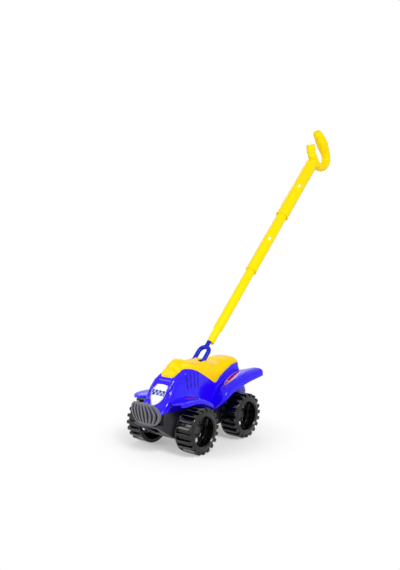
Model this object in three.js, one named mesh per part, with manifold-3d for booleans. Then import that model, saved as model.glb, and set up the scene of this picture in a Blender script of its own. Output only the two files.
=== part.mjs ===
// A toddler's push toy: a moulded quad bike on four lugged wheels, pushed by a pole of three
// tubes that slide into each other, with an open C-shaped grip at its top.
// Millimetres, +Z up. The toy drives towards -Y, and X runs across it.
import * as THREE from "three";
import { mergeVertices } from "three/addons/utils/BufferGeometryUtils.js";
import Module from "manifold-3d";

// Fits
const clearance = 0.3; // air between two pieces that touch
const overrun = 1; // how far a cutter runs past the face that it opens

// Wheels
const wheelRadius = 45;
const wheelWidth = 37;
const wheelBase = 139;
const trackWidth = 164; // over the outer faces of a pair of wheels
const wheelWall = 2.4;
const lugDepth = 5;
const lugCount = 20;
const lugFoot = 7.6; // round the tread
const lugTop = 5;
const shoulder = 3.4;
const flangeWidth = 3.5; // a plain ring at the lugs' inner ends
const dishMouthRadius = 28.5;
const dishFloorRadius = 27;
const dishDepth = 20;
const rimRound = 1.6;
const windowCount = 8;
const windowInner = 15; // radii of a window's two ends
const windowOuter = 25.8;
const windowWidth = 10;
const hubRadius = 12.8;
const hubSinkRadius = 10.5;
const hubSink = 2; // the hub's nose under the dish floor

// Axles and their push-on caps
const axleRadius = 2.5;
const capRadius = 9;
const capLength = 3;
const capCrown = 1.4; // thickness over the axle's end

// Chassis: a tub that is open at the top, with the front grille in one moulding
const tubHalfWidth = 31.5;
const tubWall = 2.5;
const tubFloor = 27; // above the ground
const tubFront = 135.4; // ahead of the middle of the wheelbase
const tubRear = 129;
const prowFoot = 95; // where the floor begins to slope up
const prowTip = 147; // the prow's front edge, ahead of the tub
const prowTop = 61; // and its height
const tailRise = 14;
const prowPocketHalf = 19;
const axleBossRadius = 8;
const postRadius = 6;
const postAcross = 16;
const postAlong = 44;
const postTop = 50;

// Screws that hold the body on the posts
const screwRadius = 1.5;
const screwHeadRadius = 3.4;
const screwHead = 2.2;
const screwSink = 1.5;
const screwGrip = 16; // its length in the body's boss
const bossRadius = 5;

// Front grille
const grilleHalfWidth = 36.4;
const grilleTop = 105;
const grilleThickness = 4.5;
const grilleBow = 6; // the middle stands this far ahead of the ends
const grilleLean = 9; // the top stands this far ahead of the foot
const slotCount = 7;
const slotSteps = 6;
const grilleBar = 4; // between two slots
const grilleRim = 4.5;
const pipHeight = 3;
const pipWidth = 4;
const tongueHalf = 14; // it hooks into the tub's front opening
const tongueLength = 14;
const tongueHeight = 2;

// Body
const bodyLength = 270;
const bodyFront = 135;
const bodyHalfWidth = 34;
const bodyHeight = 160;
const bodyWall = 2;
const cornerShare = 0.25; // of the way to the next corner that each corner is cut off
const recessDepth = 1; // of the vents and the hood's panel
const ventWidth = 3;
const ventPitch = 11;
const ventCount = 4;
const ventFront = 61;
const ventLowShare = 0.7375; // of the body's height
const ventHighShare = 0.925;
const hoodRidge = 1.2;
const hoodReach = 6; // half the depth of the plates that mark the hood

// Fenders
const fenderHalfWidth = 67.5;
const fenderInside = 22; // half width at which their blades end, inside the body
const fenderCrownFront = 1.2;
const fenderCrownRear = 4.5;
const fenderWall = 2.4;
const fenderWallShare = 0.25; // of a narrow blade's width at most
const fenderRoot = 31; // half width at which they leave the body
const fenderLipFront = 6.5; // their edges turn down this far
const fenderLipRear = 11;

// Seat cover
const coverWall = 2;
const coverProud = 0.6;
const coverSkirt = 3; // how far its edge laps down, as far as the body's deck lets it

// Handle joint: the fork straddles a tower on the body
const pivotShare = 0.5074; // of the body's length
const pivotStand = 18; // above the body's deck
const poleLean = 44; // degrees above the level, at rest
const towerHalf = 6;
const towerRadius = 6.2;
const pinRadius = 2;
const pinStand = 1;
const forkBar = 4.5; // radius of the stem and legs
const forkHalf = 12; // from the middle to each leg's axis
const forkCrown = 47; // pivot to the axis of the U's top
const forkStem = 84; // pivot to the stem's end
const eyeRadius = 5.6;
const legSlot = 0.8; // air beside a leg in the cover

// Pole
const poleOffset = 4; // the tubes' axis lies this far under the fork's
const socketStart = 62; // along the pole from the pivot
const socketRadius = 8;
const tubeStart = 95;
const tubeEndWall = 3;
const middleStart = 257.5;
const upperStart = 423;
const upperEnd = 596;
const tubeInsert = 96; // how far each tube reaches into the next
const windowAlong = 88; // from a tube's lower end to its latch window
const lowerRadius = 9.8;
const lowerWall = 1.6;
const middleWall = 1.7;
const upperWall = 1.8;
const collarStand = 0.5;
const collarLength = 4;
const latchLength = 9;
const latchHalf = 1.9;
const latchTurn = 45; // degrees, between the side and the upper front
const tangRadius = 2.5; // the stem's end in the lower tube's socket

// Grip: a C that opens upwards and forwards
const gripSpigot = 20;
const gripNeck = 9.4; // radius
const gripInner = 612; // along the pole to the axis of the inner arm
const gripSpan = 54; // between the axes of the two arms
const gripReach = 43; // from the tubes' axis to either end of the C
const gripBar = 8.7; // radius of its inner arm
const gripWall = 2;

const finishes = {
  body: { color: 0x2a12e0, roughness: 0.2 },
  cover: { color: 0xffc70a, roughness: 0.3 },
  pole: { color: 0xffdf00, roughness: 0.3 },
  fork: { color: 0x1730cc, roughness: 0.25 },
  chassis: { color: 0x5b5d62, roughness: 0.5 },
  wheel: { color: 0x0c0c0e, roughness: 0.3 },
  steel: { color: 0xb9bcc2, roughness: 0.3, metalness: 1 },
};

const wasm = await Module();
wasm.setup();

const quarter = Math.PI / 2;
const roundSteps = 16;
const gripSides = 14;
const ringSides = 12;
const mergeDistance = 1e-4;

// Turns a closed geometry into a solid with its faces outwards.
function solidOf(geometry) {
  const bare = new THREE.BufferGeometry();
  bare.setAttribute("position", geometry.getAttribute("position").clone());
  if (geometry.index) bare.setIndex(geometry.index.clone());
  const merged = mergeVertices(bare, mergeDistance);
  const points = merged.getAttribute("position");
  const faces = [];
  const a = new THREE.Vector3();
  const b = new THREE.Vector3();
  const c = new THREE.Vector3();
  let sixVolumes = 0;
  for (let i = 0; i < merged.index.count; i += 3) {
    const [p, q, r] = [0, 1, 2].map((k) => merged.index.getX(i + k));
    if (p === q || q === r || r === p) continue;
    faces.push([p, q, r]);
    a.fromBufferAttribute(points, p);
    b.fromBufferAttribute(points, q);
    c.fromBufferAttribute(points, r);
    sixVolumes += a.dot(b.cross(c));
  }
  if (sixVolumes < 0) faces.forEach((face) => face.reverse());
  return new wasm.Manifold(
    new wasm.Mesh({
      numProp: 3,
      vertProperties: points.array,
      triVerts: new Uint32Array(faces.flat()),
    }),
  );
}

// Makes the named mesh of a solid.
function meshOf(name, solid, finish) {
  const made = solid.getMesh();
  const geometry = new THREE.BufferGeometry();
  geometry.setAttribute("position", new THREE.BufferAttribute(made.vertProperties, made.numProp));
  geometry.setIndex(new THREE.BufferAttribute(made.triVerts, 1));
  geometry.computeVertexNormals();
  const mesh = new THREE.Mesh(geometry, new THREE.MeshStandardMaterial(finish));
  mesh.name = name;
  return mesh;
}

const joined = (solids) => solids.reduce((all, solid) => all.add(solid));
const cutBy = (solid, cutters) => cutters.reduce((left, cutter) => left.subtract(cutter), solid);
const moved = (solid, x, y, z) => solid.translate([x, y, z]);
const mirrored = (solid) => solid.mirror([1, 0, 0]);
const bothSides = (solid) => solid.add(mirrored(solid));

// Skins a row of rings that hold equally many points, and closes both ends. Each end is closed
// by a strip between the first half of its ring and the second half, taken backwards.
function loft(rings) {
  const count = rings[0].length;
  const faces = [];
  for (let i = 0; i + 1 < rings.length; i++) {
    for (let k = 0; k < count; k++) {
      const p = i * count + k;
      const q = i * count + ((k + 1) % count);
      faces.push([p, q, q + count], [p, q + count, p + count]);
    }
  }
  const last = (rings.length - 1) * count;
  for (let k = 0; 2 * k + 2 < count; k++) {
    const far = count - 1 - k;
    const strip = [[k, far - 1, far]];
    if (k + 1 < far - 1) strip.push([k, k + 1, far - 1]);
    for (const face of strip) {
      faces.push(face.map((place) => place + last));
      faces.push([...face].reverse());
    }
  }
  const geometry = new THREE.BufferGeometry().setFromPoints(rings.flat());
  geometry.setIndex(faces.flat());
  return solidOf(geometry);
}

// A bar of changing radius along points in one plane, to which side is square.
function bar(points, radii, side, sides = ringSides) {
  const rings = points.map((point, i) => {
    const along = points[Math.min(i + 1, points.length - 1)].clone();
    along.sub(points[Math.max(i - 1, 0)]).normalize();
    const up = along.cross(side);
    return Array.from({ length: sides }, (_, k) => {
      const angle = ((k + 0.5) / sides) * 2 * Math.PI;
      const out = point.clone().addScaledVector(side, radii[i] * Math.cos(angle));
      return out.addScaledVector(up, radii[i] * Math.sin(angle));
    });
  });
  return loft(rings);
}

// A turned piece: the profile's pairs are a radius and a place along the axis, which is +Y.
function turned(profile, segments = roundSteps) {
  const points = profile.map(([radius, along]) => new THREE.Vector2(radius, along));
  points.push(points[0].clone());
  return solidOf(new THREE.LatheGeometry(points, segments));
}

const rod = (radius, start, end, segments) =>
  turned([[0, start], [radius, start], [radius, end], [0, end]], segments);

// Lays a piece that was turned about +Y along +X, or stands it up along +Z.
const acrossX = (solid) => solid.rotate([0, 0, -90]);
const upright = (solid) => solid.rotate([90, 0, 0]);

function box(sizeX, sizeY, sizeZ) {
  return solidOf(new THREE.BoxGeometry(sizeX, sizeY, sizeZ));
}

// An outline in the YZ plane as a plate that runs across X from -half to +half.
function sidePlate(outline, half) {
  const shape = new THREE.Shape(outline.map(([y, z]) => new THREE.Vector2(y, z)));
  const geometry = new THREE.ExtrudeGeometry(shape, { depth: 2 * half, bevelEnabled: false });
  geometry.translate(0, 0, -half);
  geometry.rotateX(quarter);
  geometry.rotateZ(quarter);
  return solidOf(geometry);
}

// Reads a column of a table of stations at a place, straight between two stations.
function at(table, place, column) {
  const next = table.findIndex((row) => row[0] >= place);
  const i = next < 0 ? table.length - 1 : Math.max(1, next);
  const [before, after] = [table[i - 1], table[i]];
  const part = (place - before[0]) / (after[0] - before[0]);
  return THREE.MathUtils.lerp(before[column], after[column], part);
}

const treadRadius = wheelRadius - lugDepth;
const boreRadius = axleRadius + clearance;
const wheelInner = trackWidth / 2 - wheelWidth; // from the middle of the toy
const capPlace = trackWidth / 2 - dishDepth - hubSink + clearance;

// Wheel: a one-piece moulding, open on its inner side. Its axis is +Y, from the inner face.
function wheelSolid() {
  const floor = wheelWidth - dishDepth;
  const nose = floor - hubSink;
  const shell = turned(
    [
      [wheelRadius, 0],
      [wheelRadius, flangeWidth],
      [treadRadius, flangeWidth],
      [treadRadius, wheelWidth - shoulder],
      [treadRadius - shoulder, wheelWidth],
      [dishMouthRadius + rimRound, wheelWidth],
      [dishMouthRadius, wheelWidth - rimRound],
      [dishFloorRadius, floor],
      [hubSinkRadius, floor],
      [hubSinkRadius, nose],
      [boreRadius, nose],
      [boreRadius, 0],
      [hubRadius, 0],
      [hubRadius, floor - wheelWall],
      [dishFloorRadius + wheelWall, floor - wheelWall],
      [dishMouthRadius + wheelWall, wheelWidth - wheelWall],
      [treadRadius - shoulder, wheelWidth - wheelWall],
      [treadRadius - wheelWall, wheelWidth - wheelWall - shoulder],
      [treadRadius - wheelWall, 0],
    ],
    lugCount,
  );
  const lugRoot = treadRadius - wheelWall / 2;
  const lugShape = new THREE.Shape([
    new THREE.Vector2(-lugFoot / 2, lugRoot),
    new THREE.Vector2(lugFoot / 2, lugRoot),
    new THREE.Vector2(lugTop / 2, wheelRadius),
    new THREE.Vector2(-lugTop / 2, wheelRadius),
  ]);
  const lugLength = wheelWidth - rimRound;
  const lug = new THREE.ExtrudeGeometry(lugShape, { depth: lugLength, bevelEnabled: false });
  const narrow = (windowWidth * windowInner) / windowOuter;
  const windowShape = new THREE.Shape([
    new THREE.Vector2(-narrow / 2, windowInner),
    new THREE.Vector2(narrow / 2, windowInner),
    new THREE.Vector2(windowWidth / 2, windowOuter),
    new THREE.Vector2(-windowWidth / 2, windowOuter),
  ]);
  const cutDepth = wheelWall + 2 * overrun;
  const hole = new THREE.ExtrudeGeometry(windowShape, { depth: cutDepth, bevelEnabled: false });
  hole.translate(0, 0, floor - wheelWall - overrun);
  const ringOf = (geometry, count) => {
    const first = solidOf(geometry.rotateX(-quarter));
    return Array.from({ length: count }, (_, k) => first.rotate([0, (360 * k) / count, 0]));
  };
  const whole = joined([shell, ...ringOf(lug, lugCount)]);
  return cutBy(whole, ringOf(hole, windowCount));
}

function axleSolid() {
  const end = capPlace + capLength - capCrown;
  return acrossX(rod(axleRadius, clearance - end, end - clearance));
}

// Cap: pushed on the axle's end, against the hub's nose. Its axis is +Y from its inner face.
function capSolid() {
  return turned([
    [boreRadius, 0],
    [capRadius, 0],
    [capRadius, capLength - capCrown],
    [capRadius - capCrown, capLength],
    [0, capLength],
    [0, capLength - capCrown],
    [boreRadius, capLength - capCrown],
  ]);
}

// The body's stations, front to rear. Each has its place, and then the height and half width of
// four points of its section: the sill, the flank's foot, the shoulder and the deck's edge. The
// place is a share of the body's length, heights of its height and half widths of its half width.
const bodyShares = [
  [0, 0.516, 0.918, 0.528, 0.882, 0.547, 0.765, 0.55, 0.603],
  [0.03, 0.529, 0.95, 0.562, 0.894, 0.588, 0.765, 0.588, 0.515],
  [0.059, 0.534, 0.965, 0.584, 0.912, 0.622, 0.779, 0.625, 0.518],
  [0.108, 0.52, 0.979, 0.634, 0.941, 0.728, 0.838, 0.75, 0.609],
  [0.141, 0.512, 0.985, 0.653, 0.953, 0.778, 0.859, 0.812, 0.632],
  [0.179, 0.506, 0.988, 0.661, 0.962, 0.828, 0.874, 0.877, 0.65],
  [0.204, 0.5, 0.991, 0.662, 0.968, 0.859, 0.876, 0.905, 0.606],
  [0.241, 0.494, 0.994, 0.662, 0.971, 0.88, 0.888, 0.938, 0.529],
  [0.278, 0.481, 0.997, 0.653, 0.974, 0.897, 0.906, 0.966, 0.506],
  [0.304, 0.469, 1, 0.637, 0.976, 0.906, 0.912, 0.974, 0.603],
  [0.33, 0.453, 1, 0.625, 0.976, 0.894, 0.912, 0.971, 0.75],
  [0.354, 0.438, 1, 0.606, 0.979, 0.819, 0.921, 0.958, 0.85],
  [0.383, 0.419, 1, 0.575, 0.982, 0.781, 0.926, 0.939, 0.862],
  [0.463, 0.381, 1, 0.45, 0.991, 0.662, 0.935, 0.864, 0.862],
  [0.533, 0.376, 1, 0.412, 0.994, 0.606, 0.938, 0.792, 0.862],
  [0.605, 0.377, 1, 0.594, 0.982, 0.662, 0.926, 0.724, 0.862],
  [0.666, 0.4, 1, 0.688, 0.959, 0.744, 0.918, 0.789, 0.859],
  [0.753, 0.444, 0.997, 0.75, 0.929, 0.806, 0.894, 0.856, 0.847],
  [0.832, 0.456, 0.988, 0.781, 0.906, 0.844, 0.862, 0.895, 0.809],
  [0.887, 0.456, 0.968, 0.787, 0.888, 0.847, 0.818, 0.897, 0.741],
  [0.906, 0.456, 0.956, 0.781, 0.882, 0.825, 0.806, 0.883, 0.729],
  [0.917, 0.456, 0.947, 0.7, 0.871, 0.75, 0.812, 0.797, 0.735],
  [0.959, 0.456, 0.9, 0.562, 0.865, 0.613, 0.818, 0.665, 0.759],
  [0.993, 0.456, 0.841, 0.487, 0.835, 0.512, 0.818, 0.545, 0.771],
  [1, 0.456, 0.821, 0.469, 0.818, 0.481, 0.806, 0.5, 0.771],
];
const bodyStations = bodyShares.map(([along, ...section]) => [
  along * bodyLength - bodyFront,
  ...section.map((share, i) => share * (i % 2 ? bodyHalfWidth : bodyHeight)),
]);
const deckColumn = bodyStations[0].length - 2; // the last pair of a station
const sillAt = (y) => at(bodyStations, y, 1);
const deckAt = (y) => at(bodyStations, y, deckColumn);
const deckHalfAt = (y) => at(bodyStations, y, deckColumn + 1);
const pivotAft = pivotShare * bodyLength - bodyFront;
const pivotHeight = deckAt(pivotAft) + pivotStand;

// One section of the body as a closed ring, drawn in by inset and lowered at the sill by drop.
function bodyRing([y, ...section], inset, drop) {
  const corners = [];
  for (let i = 0; i < section.length; i += 2) {
    const [high, half] = section.slice(i, i + 2);
    corners.push(new THREE.Vector3(half - inset, y, i ? high - inset : high - drop));
  }
  const right = corners.flatMap((corner, i) => {
    if (!corners[i - 1] || !corners[i + 1]) return [corner];
    return [corners[i - 1], corners[i + 1]].map((next) => corner.clone().lerp(next, cornerShare));
  });
  const left = right.map(({ x, z }) => new THREE.Vector3(-x, y, z)).reverse();
  return [...right, ...left];
}

// Fender stations: place, half width and height of the lip, place and height of the root, and how
// far the blade bulges rearwards between them. Places and the bulge are shares of the body's
// length, half widths of the fenders' half width, and heights of the way from the wheels' tops to
// the body's height.
const frontFenderShares = [
  [0.089, 0.904, 0.093, 0.102, 0.164, -0.033],
  [0.106, 0.963, 0.1, 0.115, 0.193, -0.026],
  [0.133, 0.997, 0.106, 0.137, 0.214, -0.015],
  [0.174, 1, 0.109, 0.167, 0.229, -0.004],
  [0.226, 1, 0.1, 0.211, 0.229, 0],
  [0.286, 1, 0.063, 0.27, 0.2, 0],
  [0.337, 0.996, -0.003, 0.322, 0.143, 0],
  [0.385, 0.978, -0.093, 0.378, 0.043, 0],
  [0.437, 0.904, -0.193, 0.433, -0.107, 0],
  [0.478, 0.741, -0.293, 0.47, -0.243, 0],
  [0.504, 0.563, -0.393, 0.5, -0.357, 0],
];
const rearFenderShares = [
  [0.535, 0.563, -0.386, 0.531, -0.336, 0],
  [0.557, 0.77, -0.264, 0.552, -0.171, 0],
  [0.572, 0.904, -0.15, 0.574, -0.029, 0],
  [0.589, 0.978, -0.043, 0.596, 0.1, 0],
  [0.615, 1, 0.029, 0.626, 0.214, 0],
  [0.664, 1, 0.106, 0.663, 0.293, 0],
  [0.726, 1, 0.176, 0.715, 0.386, 0],
  [0.79, 1, 0.217, 0.774, 0.457, 0],
  [0.854, 1, 0.26, 0.83, 0.5, 0],
  [0.92, 1, 0.287, 0.874, 0.514, 0.004],
  [0.989, 1, 0.311, 0.904, 0.504, 0.013],
  [1.031, 0.997, 0.329, 0.919, 0.49, 0.022],
];

// A fender's section: the share of the way from its root to its lip, and of the lip's depth.
const bladeShares = [
  [0, 0],
  [0.3, 0.3],
  [0.62, 0.7],
  [0.88, 1],
  [0.98, 0.72],
];

// A fender on the +X side: a crowned blade whose edge turns down.
function fenderSolid(shares, crown, lipDepth) {
  const place = (half, along, rise) => {
    const high = THREE.MathUtils.lerp(2 * wheelRadius, bodyHeight, rise);
    return new THREE.Vector3(half, along * bodyLength - bodyFront, high);
  };
  const edges = shares.map(([lipAlong, lipHalf, lipHigh, rootAlong, rootHigh, bulge]) => ({
    lip: place(lipHalf * fenderHalfWidth, lipAlong, lipHigh),
    root: place(fenderRoot, rootAlong, rootHigh),
    bulge: bulge * bodyLength,
  }));
  const rings = edges.map(({ lip, root, bulge }, i) => {
    const before = edges[Math.max(i - 1, 0)];
    const after = edges[Math.min(i + 1, edges.length - 1)];
    const along = after.lip.clone().add(after.root).sub(before.lip).sub(before.root);
    const out = new THREE.Vector3(0, -along.z, along.y).normalize();
    const width = lip.x - root.x;
    const fullness = width / (fenderHalfWidth - fenderRoot);
    const wall = Math.min(fenderWall, fenderWallShare * width);
    const top = bladeShares.map(([share, lift]) => {
      const arch = Math.sin(Math.PI * share);
      const point = root.clone().lerp(lip, share);
      point.y += bulge * arch;
      return point.addScaledVector(out, fullness * (crown * arch + lipDepth * lift));
    });
    const inside = root.clone();
    inside.x = fenderInside;
    top.unshift(inside);
    const under = top.map((point) => point.clone().addScaledVector(out, -fenderWall));
    under.at(-1).x -= wall;
    const lipBack = lip.clone();
    lipBack.x -= wall;
    return [...top, lip, lipBack, ...under.reverse()];
  });
  return loft(rings);
}

// The hood's front: its foot, and how far it leans back.
const hoodStations = [1, 5];
const [hoodFoot, hoodHead] = hoodStations.map((place) => bodyStations[place]);
const hoodRise = hoodHead[deckColumn] - hoodFoot[deckColumn];
const hoodLength = Math.hypot(hoodHead[0] - hoodFoot[0], hoodRise);
const hoodLean = Math.atan2(hoodRise, hoodHead[0] - hoodFoot[0]);

// A plate that lies in the hood's front, with as much of it above the hood as in it.
function hoodPlate(outline) {
  const shape = new THREE.Shape(outline.map(([x, along]) => new THREE.Vector2(x, along)));
  const plate = new THREE.ExtrudeGeometry(shape, { depth: 2 * hoodReach, bevelEnabled: false });
  plate.translate(0, 0, -hoodReach);
  plate.rotateX(hoodLean);
  plate.translate(0, hoodFoot[0], hoodFoot[deckColumn]);
  return solidOf(plate);
}

function bodySolid() {
  const outer = loft(bodyStations.map((station) => bodyRing(station, 0, 0)));
  const shorter = 1 - (2 * bodyWall) / bodyLength;
  const inner = loft(
    bodyStations.map(([y, ...sizes]) => bodyRing([y * shorter, ...sizes], bodyWall, overrun)),
  );
  const skinned = loft(bodyStations.map((station) => bodyRing(station, recessDepth, 0)));
  const proud = loft(bodyStations.map((station) => bodyRing(station, -hoodRidge, 0)));
  const fenders = bothSides(
    joined([
      fenderSolid(frontFenderShares, fenderCrownFront, fenderLipFront),
      fenderSolid(rearFenderShares, fenderCrownRear, fenderLipRear),
    ]),
  );
  const panelShares = [
    // share of the deck's half width, share of the panel's length
    [0.62, 0.14],
    [0.74, 0.86],
  ];
  const [[lowHalf, low], [highHalf, high]] = panelShares.map(([half, along], i) => [
    half * (i ? hoodHead : hoodFoot)[deckColumn + 1],
    along * hoodLength,
  ]);
  const panel = [
    [-lowHalf, low],
    [lowHalf, low],
    [highHalf, high],
    [-highHalf, high],
  ];
  const ridgeShares = [0.8, 0.93];
  const ridgeEndShare = 0.83; // of the panel's length, short of the seat cover
  const ridges = ridgeShares.map((share) => {
    const foot = hoodFoot[deckColumn + 1] * share;
    const head = THREE.MathUtils.lerp(foot, hoodHead[deckColumn + 1] * share, ridgeEndShare);
    const outline = [
      [foot - hoodRidge / 2, 0],
      [foot + hoodRidge / 2, 0],
      [head + hoodRidge / 2, hoodLength * ridgeEndShare],
      [head - hoodRidge / 2, hoodLength * ridgeEndShare],
    ];
    return bothSides(hoodPlate(outline).intersect(proud));
  });
  const towerFoot = deckAt(pivotAft + towerRadius) - bodyWall;
  const towerLeg = box(2 * towerHalf, 2 * towerRadius, pivotHeight - towerFoot);
  const tower = joined([
    moved(acrossX(rod(towerRadius, -towerHalf, towerHalf)), 0, pivotAft, pivotHeight),
    moved(towerLeg, 0, pivotAft, (pivotHeight + towerFoot) / 2),
  ]);
  const bosses = eachPost((x, y) => {
    const top = deckAt(y) - bodyWall / 2;
    return moved(upright(rod(bossRadius, postTop + clearance, top)), x, y, 0);
  });
  const pilots = eachPost((x, y) => {
    const top = postTop + screwGrip + overrun;
    return moved(upright(rod(screwRadius + clearance, postTop, top, ringSides)), x, y, 0);
  });
  const ventLow = ventLowShare * bodyHeight;
  const ventHigh = ventHighShare * bodyHeight;
  const vents = Array.from({ length: ventCount }, (_, k) => {
    const y = k * ventPitch - ventFront;
    const groove = box(3 * bodyHalfWidth, ventWidth, ventHigh - ventLow);
    return moved(groove, 0, y, (ventHigh + ventLow) / 2).subtract(skinned);
  });
  const shell = cutBy(joined([outer, fenders, ...ridges]), [
    inner,
    hoodPlate(panel).subtract(skinned),
    ...vents,
  ]);
  const pinBore = acrossX(rod(pinRadius + clearance, -towerHalf - overrun, towerHalf + overrun));
  return cutBy(joined([shell, tower, ...bosses]), [
    ...pilots,
    moved(pinBore, 0, pivotAft, pivotHeight),
  ]);
}

// Makes one solid for each of the four screw posts.
function eachPost(make) {
  const places = [-1, 1].flatMap((side) => [-1, 1].map((end) => [side, end]));
  return places.map(([side, end]) => make(side * postAcross, end * postAlong));
}

const headSeat = tubFloor + screwSink + screwHead;

function screwSolid(x, y) {
  const screw = turned(
    [
      [0, headSeat - screwHead],
      [screwHeadRadius, headSeat - screwHead],
      [screwHeadRadius, headSeat - clearance],
      [screwRadius, headSeat - clearance],
      [screwRadius, postTop + screwGrip],
      [0, postTop + screwGrip],
    ],
    ringSides,
  );
  return moved(upright(screw), x, y, 0);
}

// The grille's outline on the +X side, from its foot to its top.
const grilleShares = [
  // share of the half width, share of the height
  [0.5, 0],
  [0.74, 0.09],
  [0.93, 0.3],
  [1, 0.5],
  [0.97, 0.68],
  [0.84, 0.86],
  [0.62, 0.97],
  [0.3, 1],
];
const grilleFoot = prowTop + clearance;
const grilleHeight = grilleTop - grilleFoot;

// Where the grille's front face is at a place across it and a share of its height.
function grilleFront(x, rise) {
  return grilleBow * (x / grilleHalfWidth) ** 2 - prowTip - grilleLean * rise;
}

function grilleSolid() {
  const pointAt = (x, rise, depth) =>
    new THREE.Vector3(x, grilleFront(x, rise) + depth, grilleFoot + rise * grilleHeight);
  const acrossSteps = 10;
  const rows = grilleShares.map(([across, rise]) => {
    const places = Array.from({ length: acrossSteps + 1 }, (_, i) => (2 * i) / acrossSteps - 1);
    const row = (depth) =>
      places.map((share) => pointAt(share * across * grilleHalfWidth, rise, depth));
    return [...row(0), ...row(grilleThickness).reverse()];
  });
  const widths = grilleShares.map(([across, rise]) => [rise, across * grilleHalfWidth]);
  const slotLow = grilleRim / grilleHeight;
  const slotRises = Array.from({ length: slotSteps + 1 }, (_, i) =>
    THREE.MathUtils.lerp(slotLow, 1 - slotLow, i / slotSteps),
  );
  const slots = Array.from({ length: slotCount }, (_, k) =>
    loft(
      slotRises.map((rise) => {
        const room = 2 * (at(widths, rise, 1) - grilleRim) + grilleBar;
        const edges = [0, 1].map((edge) => {
          const place = room * ((k + edge) / slotCount - 0.5);
          return place + (0.5 - edge) * grilleBar;
        });
        const front = edges.map((x) => pointAt(x, rise, -overrun));
        const back = edges.map((x) => pointAt(x, rise, grilleThickness + overrun));
        return [...front, ...back.reverse()];
      }),
    ),
  );
  const pipPlace = grilleShares.at(-1)[0] * grilleHalfWidth;
  const pips = [-pipPlace, pipPlace].map((x) => {
    const pip = box(pipWidth, grilleThickness / 2, 2 * pipHeight);
    return moved(pip, x, grilleFront(x, 1) + grilleThickness / 2, grilleTop);
  });
  const tongue = moved(
    box(2 * tongueHalf, tongueLength, tongueHeight),
    0,
    grilleFront(0, 0) + (grilleThickness + tongueLength) / 2,
    prowTop + tubWall + clearance + tongueHeight / 2,
  );
  return joined([cutBy(loft(rows), slots), ...pips, tongue]);
}

function chassisSolid() {
  const slope = (prowTop - tubFloor) / (prowTip - prowFoot);
  const prowAt = (y) => tubFloor - (y + prowFoot) * slope;
  const tubTop = 2 * bodyHeight;
  const tail = (inset) => [
    [tubRear - tailRise - inset / 2, tubFloor + inset],
    [tubRear - inset, tubFloor + tailRise + inset / 2],
    [tubRear - inset, tubTop],
  ];
  const outline = [
    [-tubFront, prowTop],
    [-prowTip, prowTop],
    [-prowFoot, tubFloor],
    ...tail(0),
    [-tubFront, tubTop],
  ];
  const hollow = [
    [tubWall - tubFront, prowAt(tubWall - tubFront) + tubWall * Math.hypot(1, slope)],
    [tubWall / 2 - prowFoot, tubFloor + tubWall],
    ...tail(tubWall),
    [tubWall - tubFront, tubTop],
  ];
  const rim = bodyStations.map(([y, sill]) => [y, sill - clearance]);
  const far = prowTip + tubRear;
  const above = sidePlate(
    [[-far, rim[0][1]], ...rim, [far, rim.at(-1)[1]], [far, 2 * tubTop], [-far, 2 * tubTop]],
    2 * bodyHalfWidth,
  );
  const openingLow = prowTop + tubWall;
  const openingHigh = sillAt(-bodyFront) - tubWall;
  const frontOpening = moved(
    box(2 * (tubHalfWidth - 2 * tubWall), 4 * tubWall, openingHigh - openingLow),
    0,
    -tubFront,
    (openingHigh + openingLow) / 2,
  );
  const prowLength = Math.hypot(prowTop - tubFloor, prowTip - prowFoot);
  const prowShares = [
    // share of the pocket's half width, share of the prow's length
    [1, 0.2],
    [0.45, 0.76],
  ];
  const pocketHalf = prowShares.map(([half, along]) => [half * prowPocketHalf, along * prowLength]);
  const pocketOutline = [...pocketHalf, ...pocketHalf.map(([x, along]) => [-x, along]).reverse()];
  const pocket = new THREE.ExtrudeGeometry(
    new THREE.Shape(pocketOutline.map(([x, along]) => new THREE.Vector2(x, along))),
    { depth: 2 * tubWall, bevelEnabled: false },
  );
  pocket.translate(0, 0, -tubWall / 2);
  pocket.rotateX(-Math.atan(slope));
  pocket.translate(0, -prowTip, prowTop);
  const bossEnd = wheelInner - clearance;
  const boss = acrossX(rod(axleBossRadius, tubHalfWidth - tubWall, bossEnd));
  const bore = acrossX(rod(boreRadius, -wheelInner, wheelInner));
  const atAxles = (solid) =>
    [-1, 1].map((end) => moved(solid, 0, (end * wheelBase) / 2, wheelRadius));
  const posts = eachPost((x, y) => moved(upright(rod(postRadius, tubFloor, postTop)), x, y, 0));
  const shanks = eachPost((x, y) => {
    const shank = rod(screwRadius + clearance, tubFloor, postTop + overrun, ringSides);
    return moved(upright(shank), x, y, 0);
  });
  const headHoles = eachPost((x, y) => {
    const hole = rod(screwHeadRadius + clearance, tubFloor - overrun, headSeat, ringSides);
    return moved(upright(hole), x, y, 0);
  });
  const tub = cutBy(sidePlate(outline, tubHalfWidth), [
    sidePlate(hollow, tubHalfWidth - tubWall),
    above,
    frontOpening,
    solidOf(pocket),
  ]);
  return cutBy(joined([tub, ...atAxles(bothSides(boss)), ...posts]), [
    ...atAxles(bore),
    ...shanks,
    ...headHoles,
  ]);
}

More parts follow.
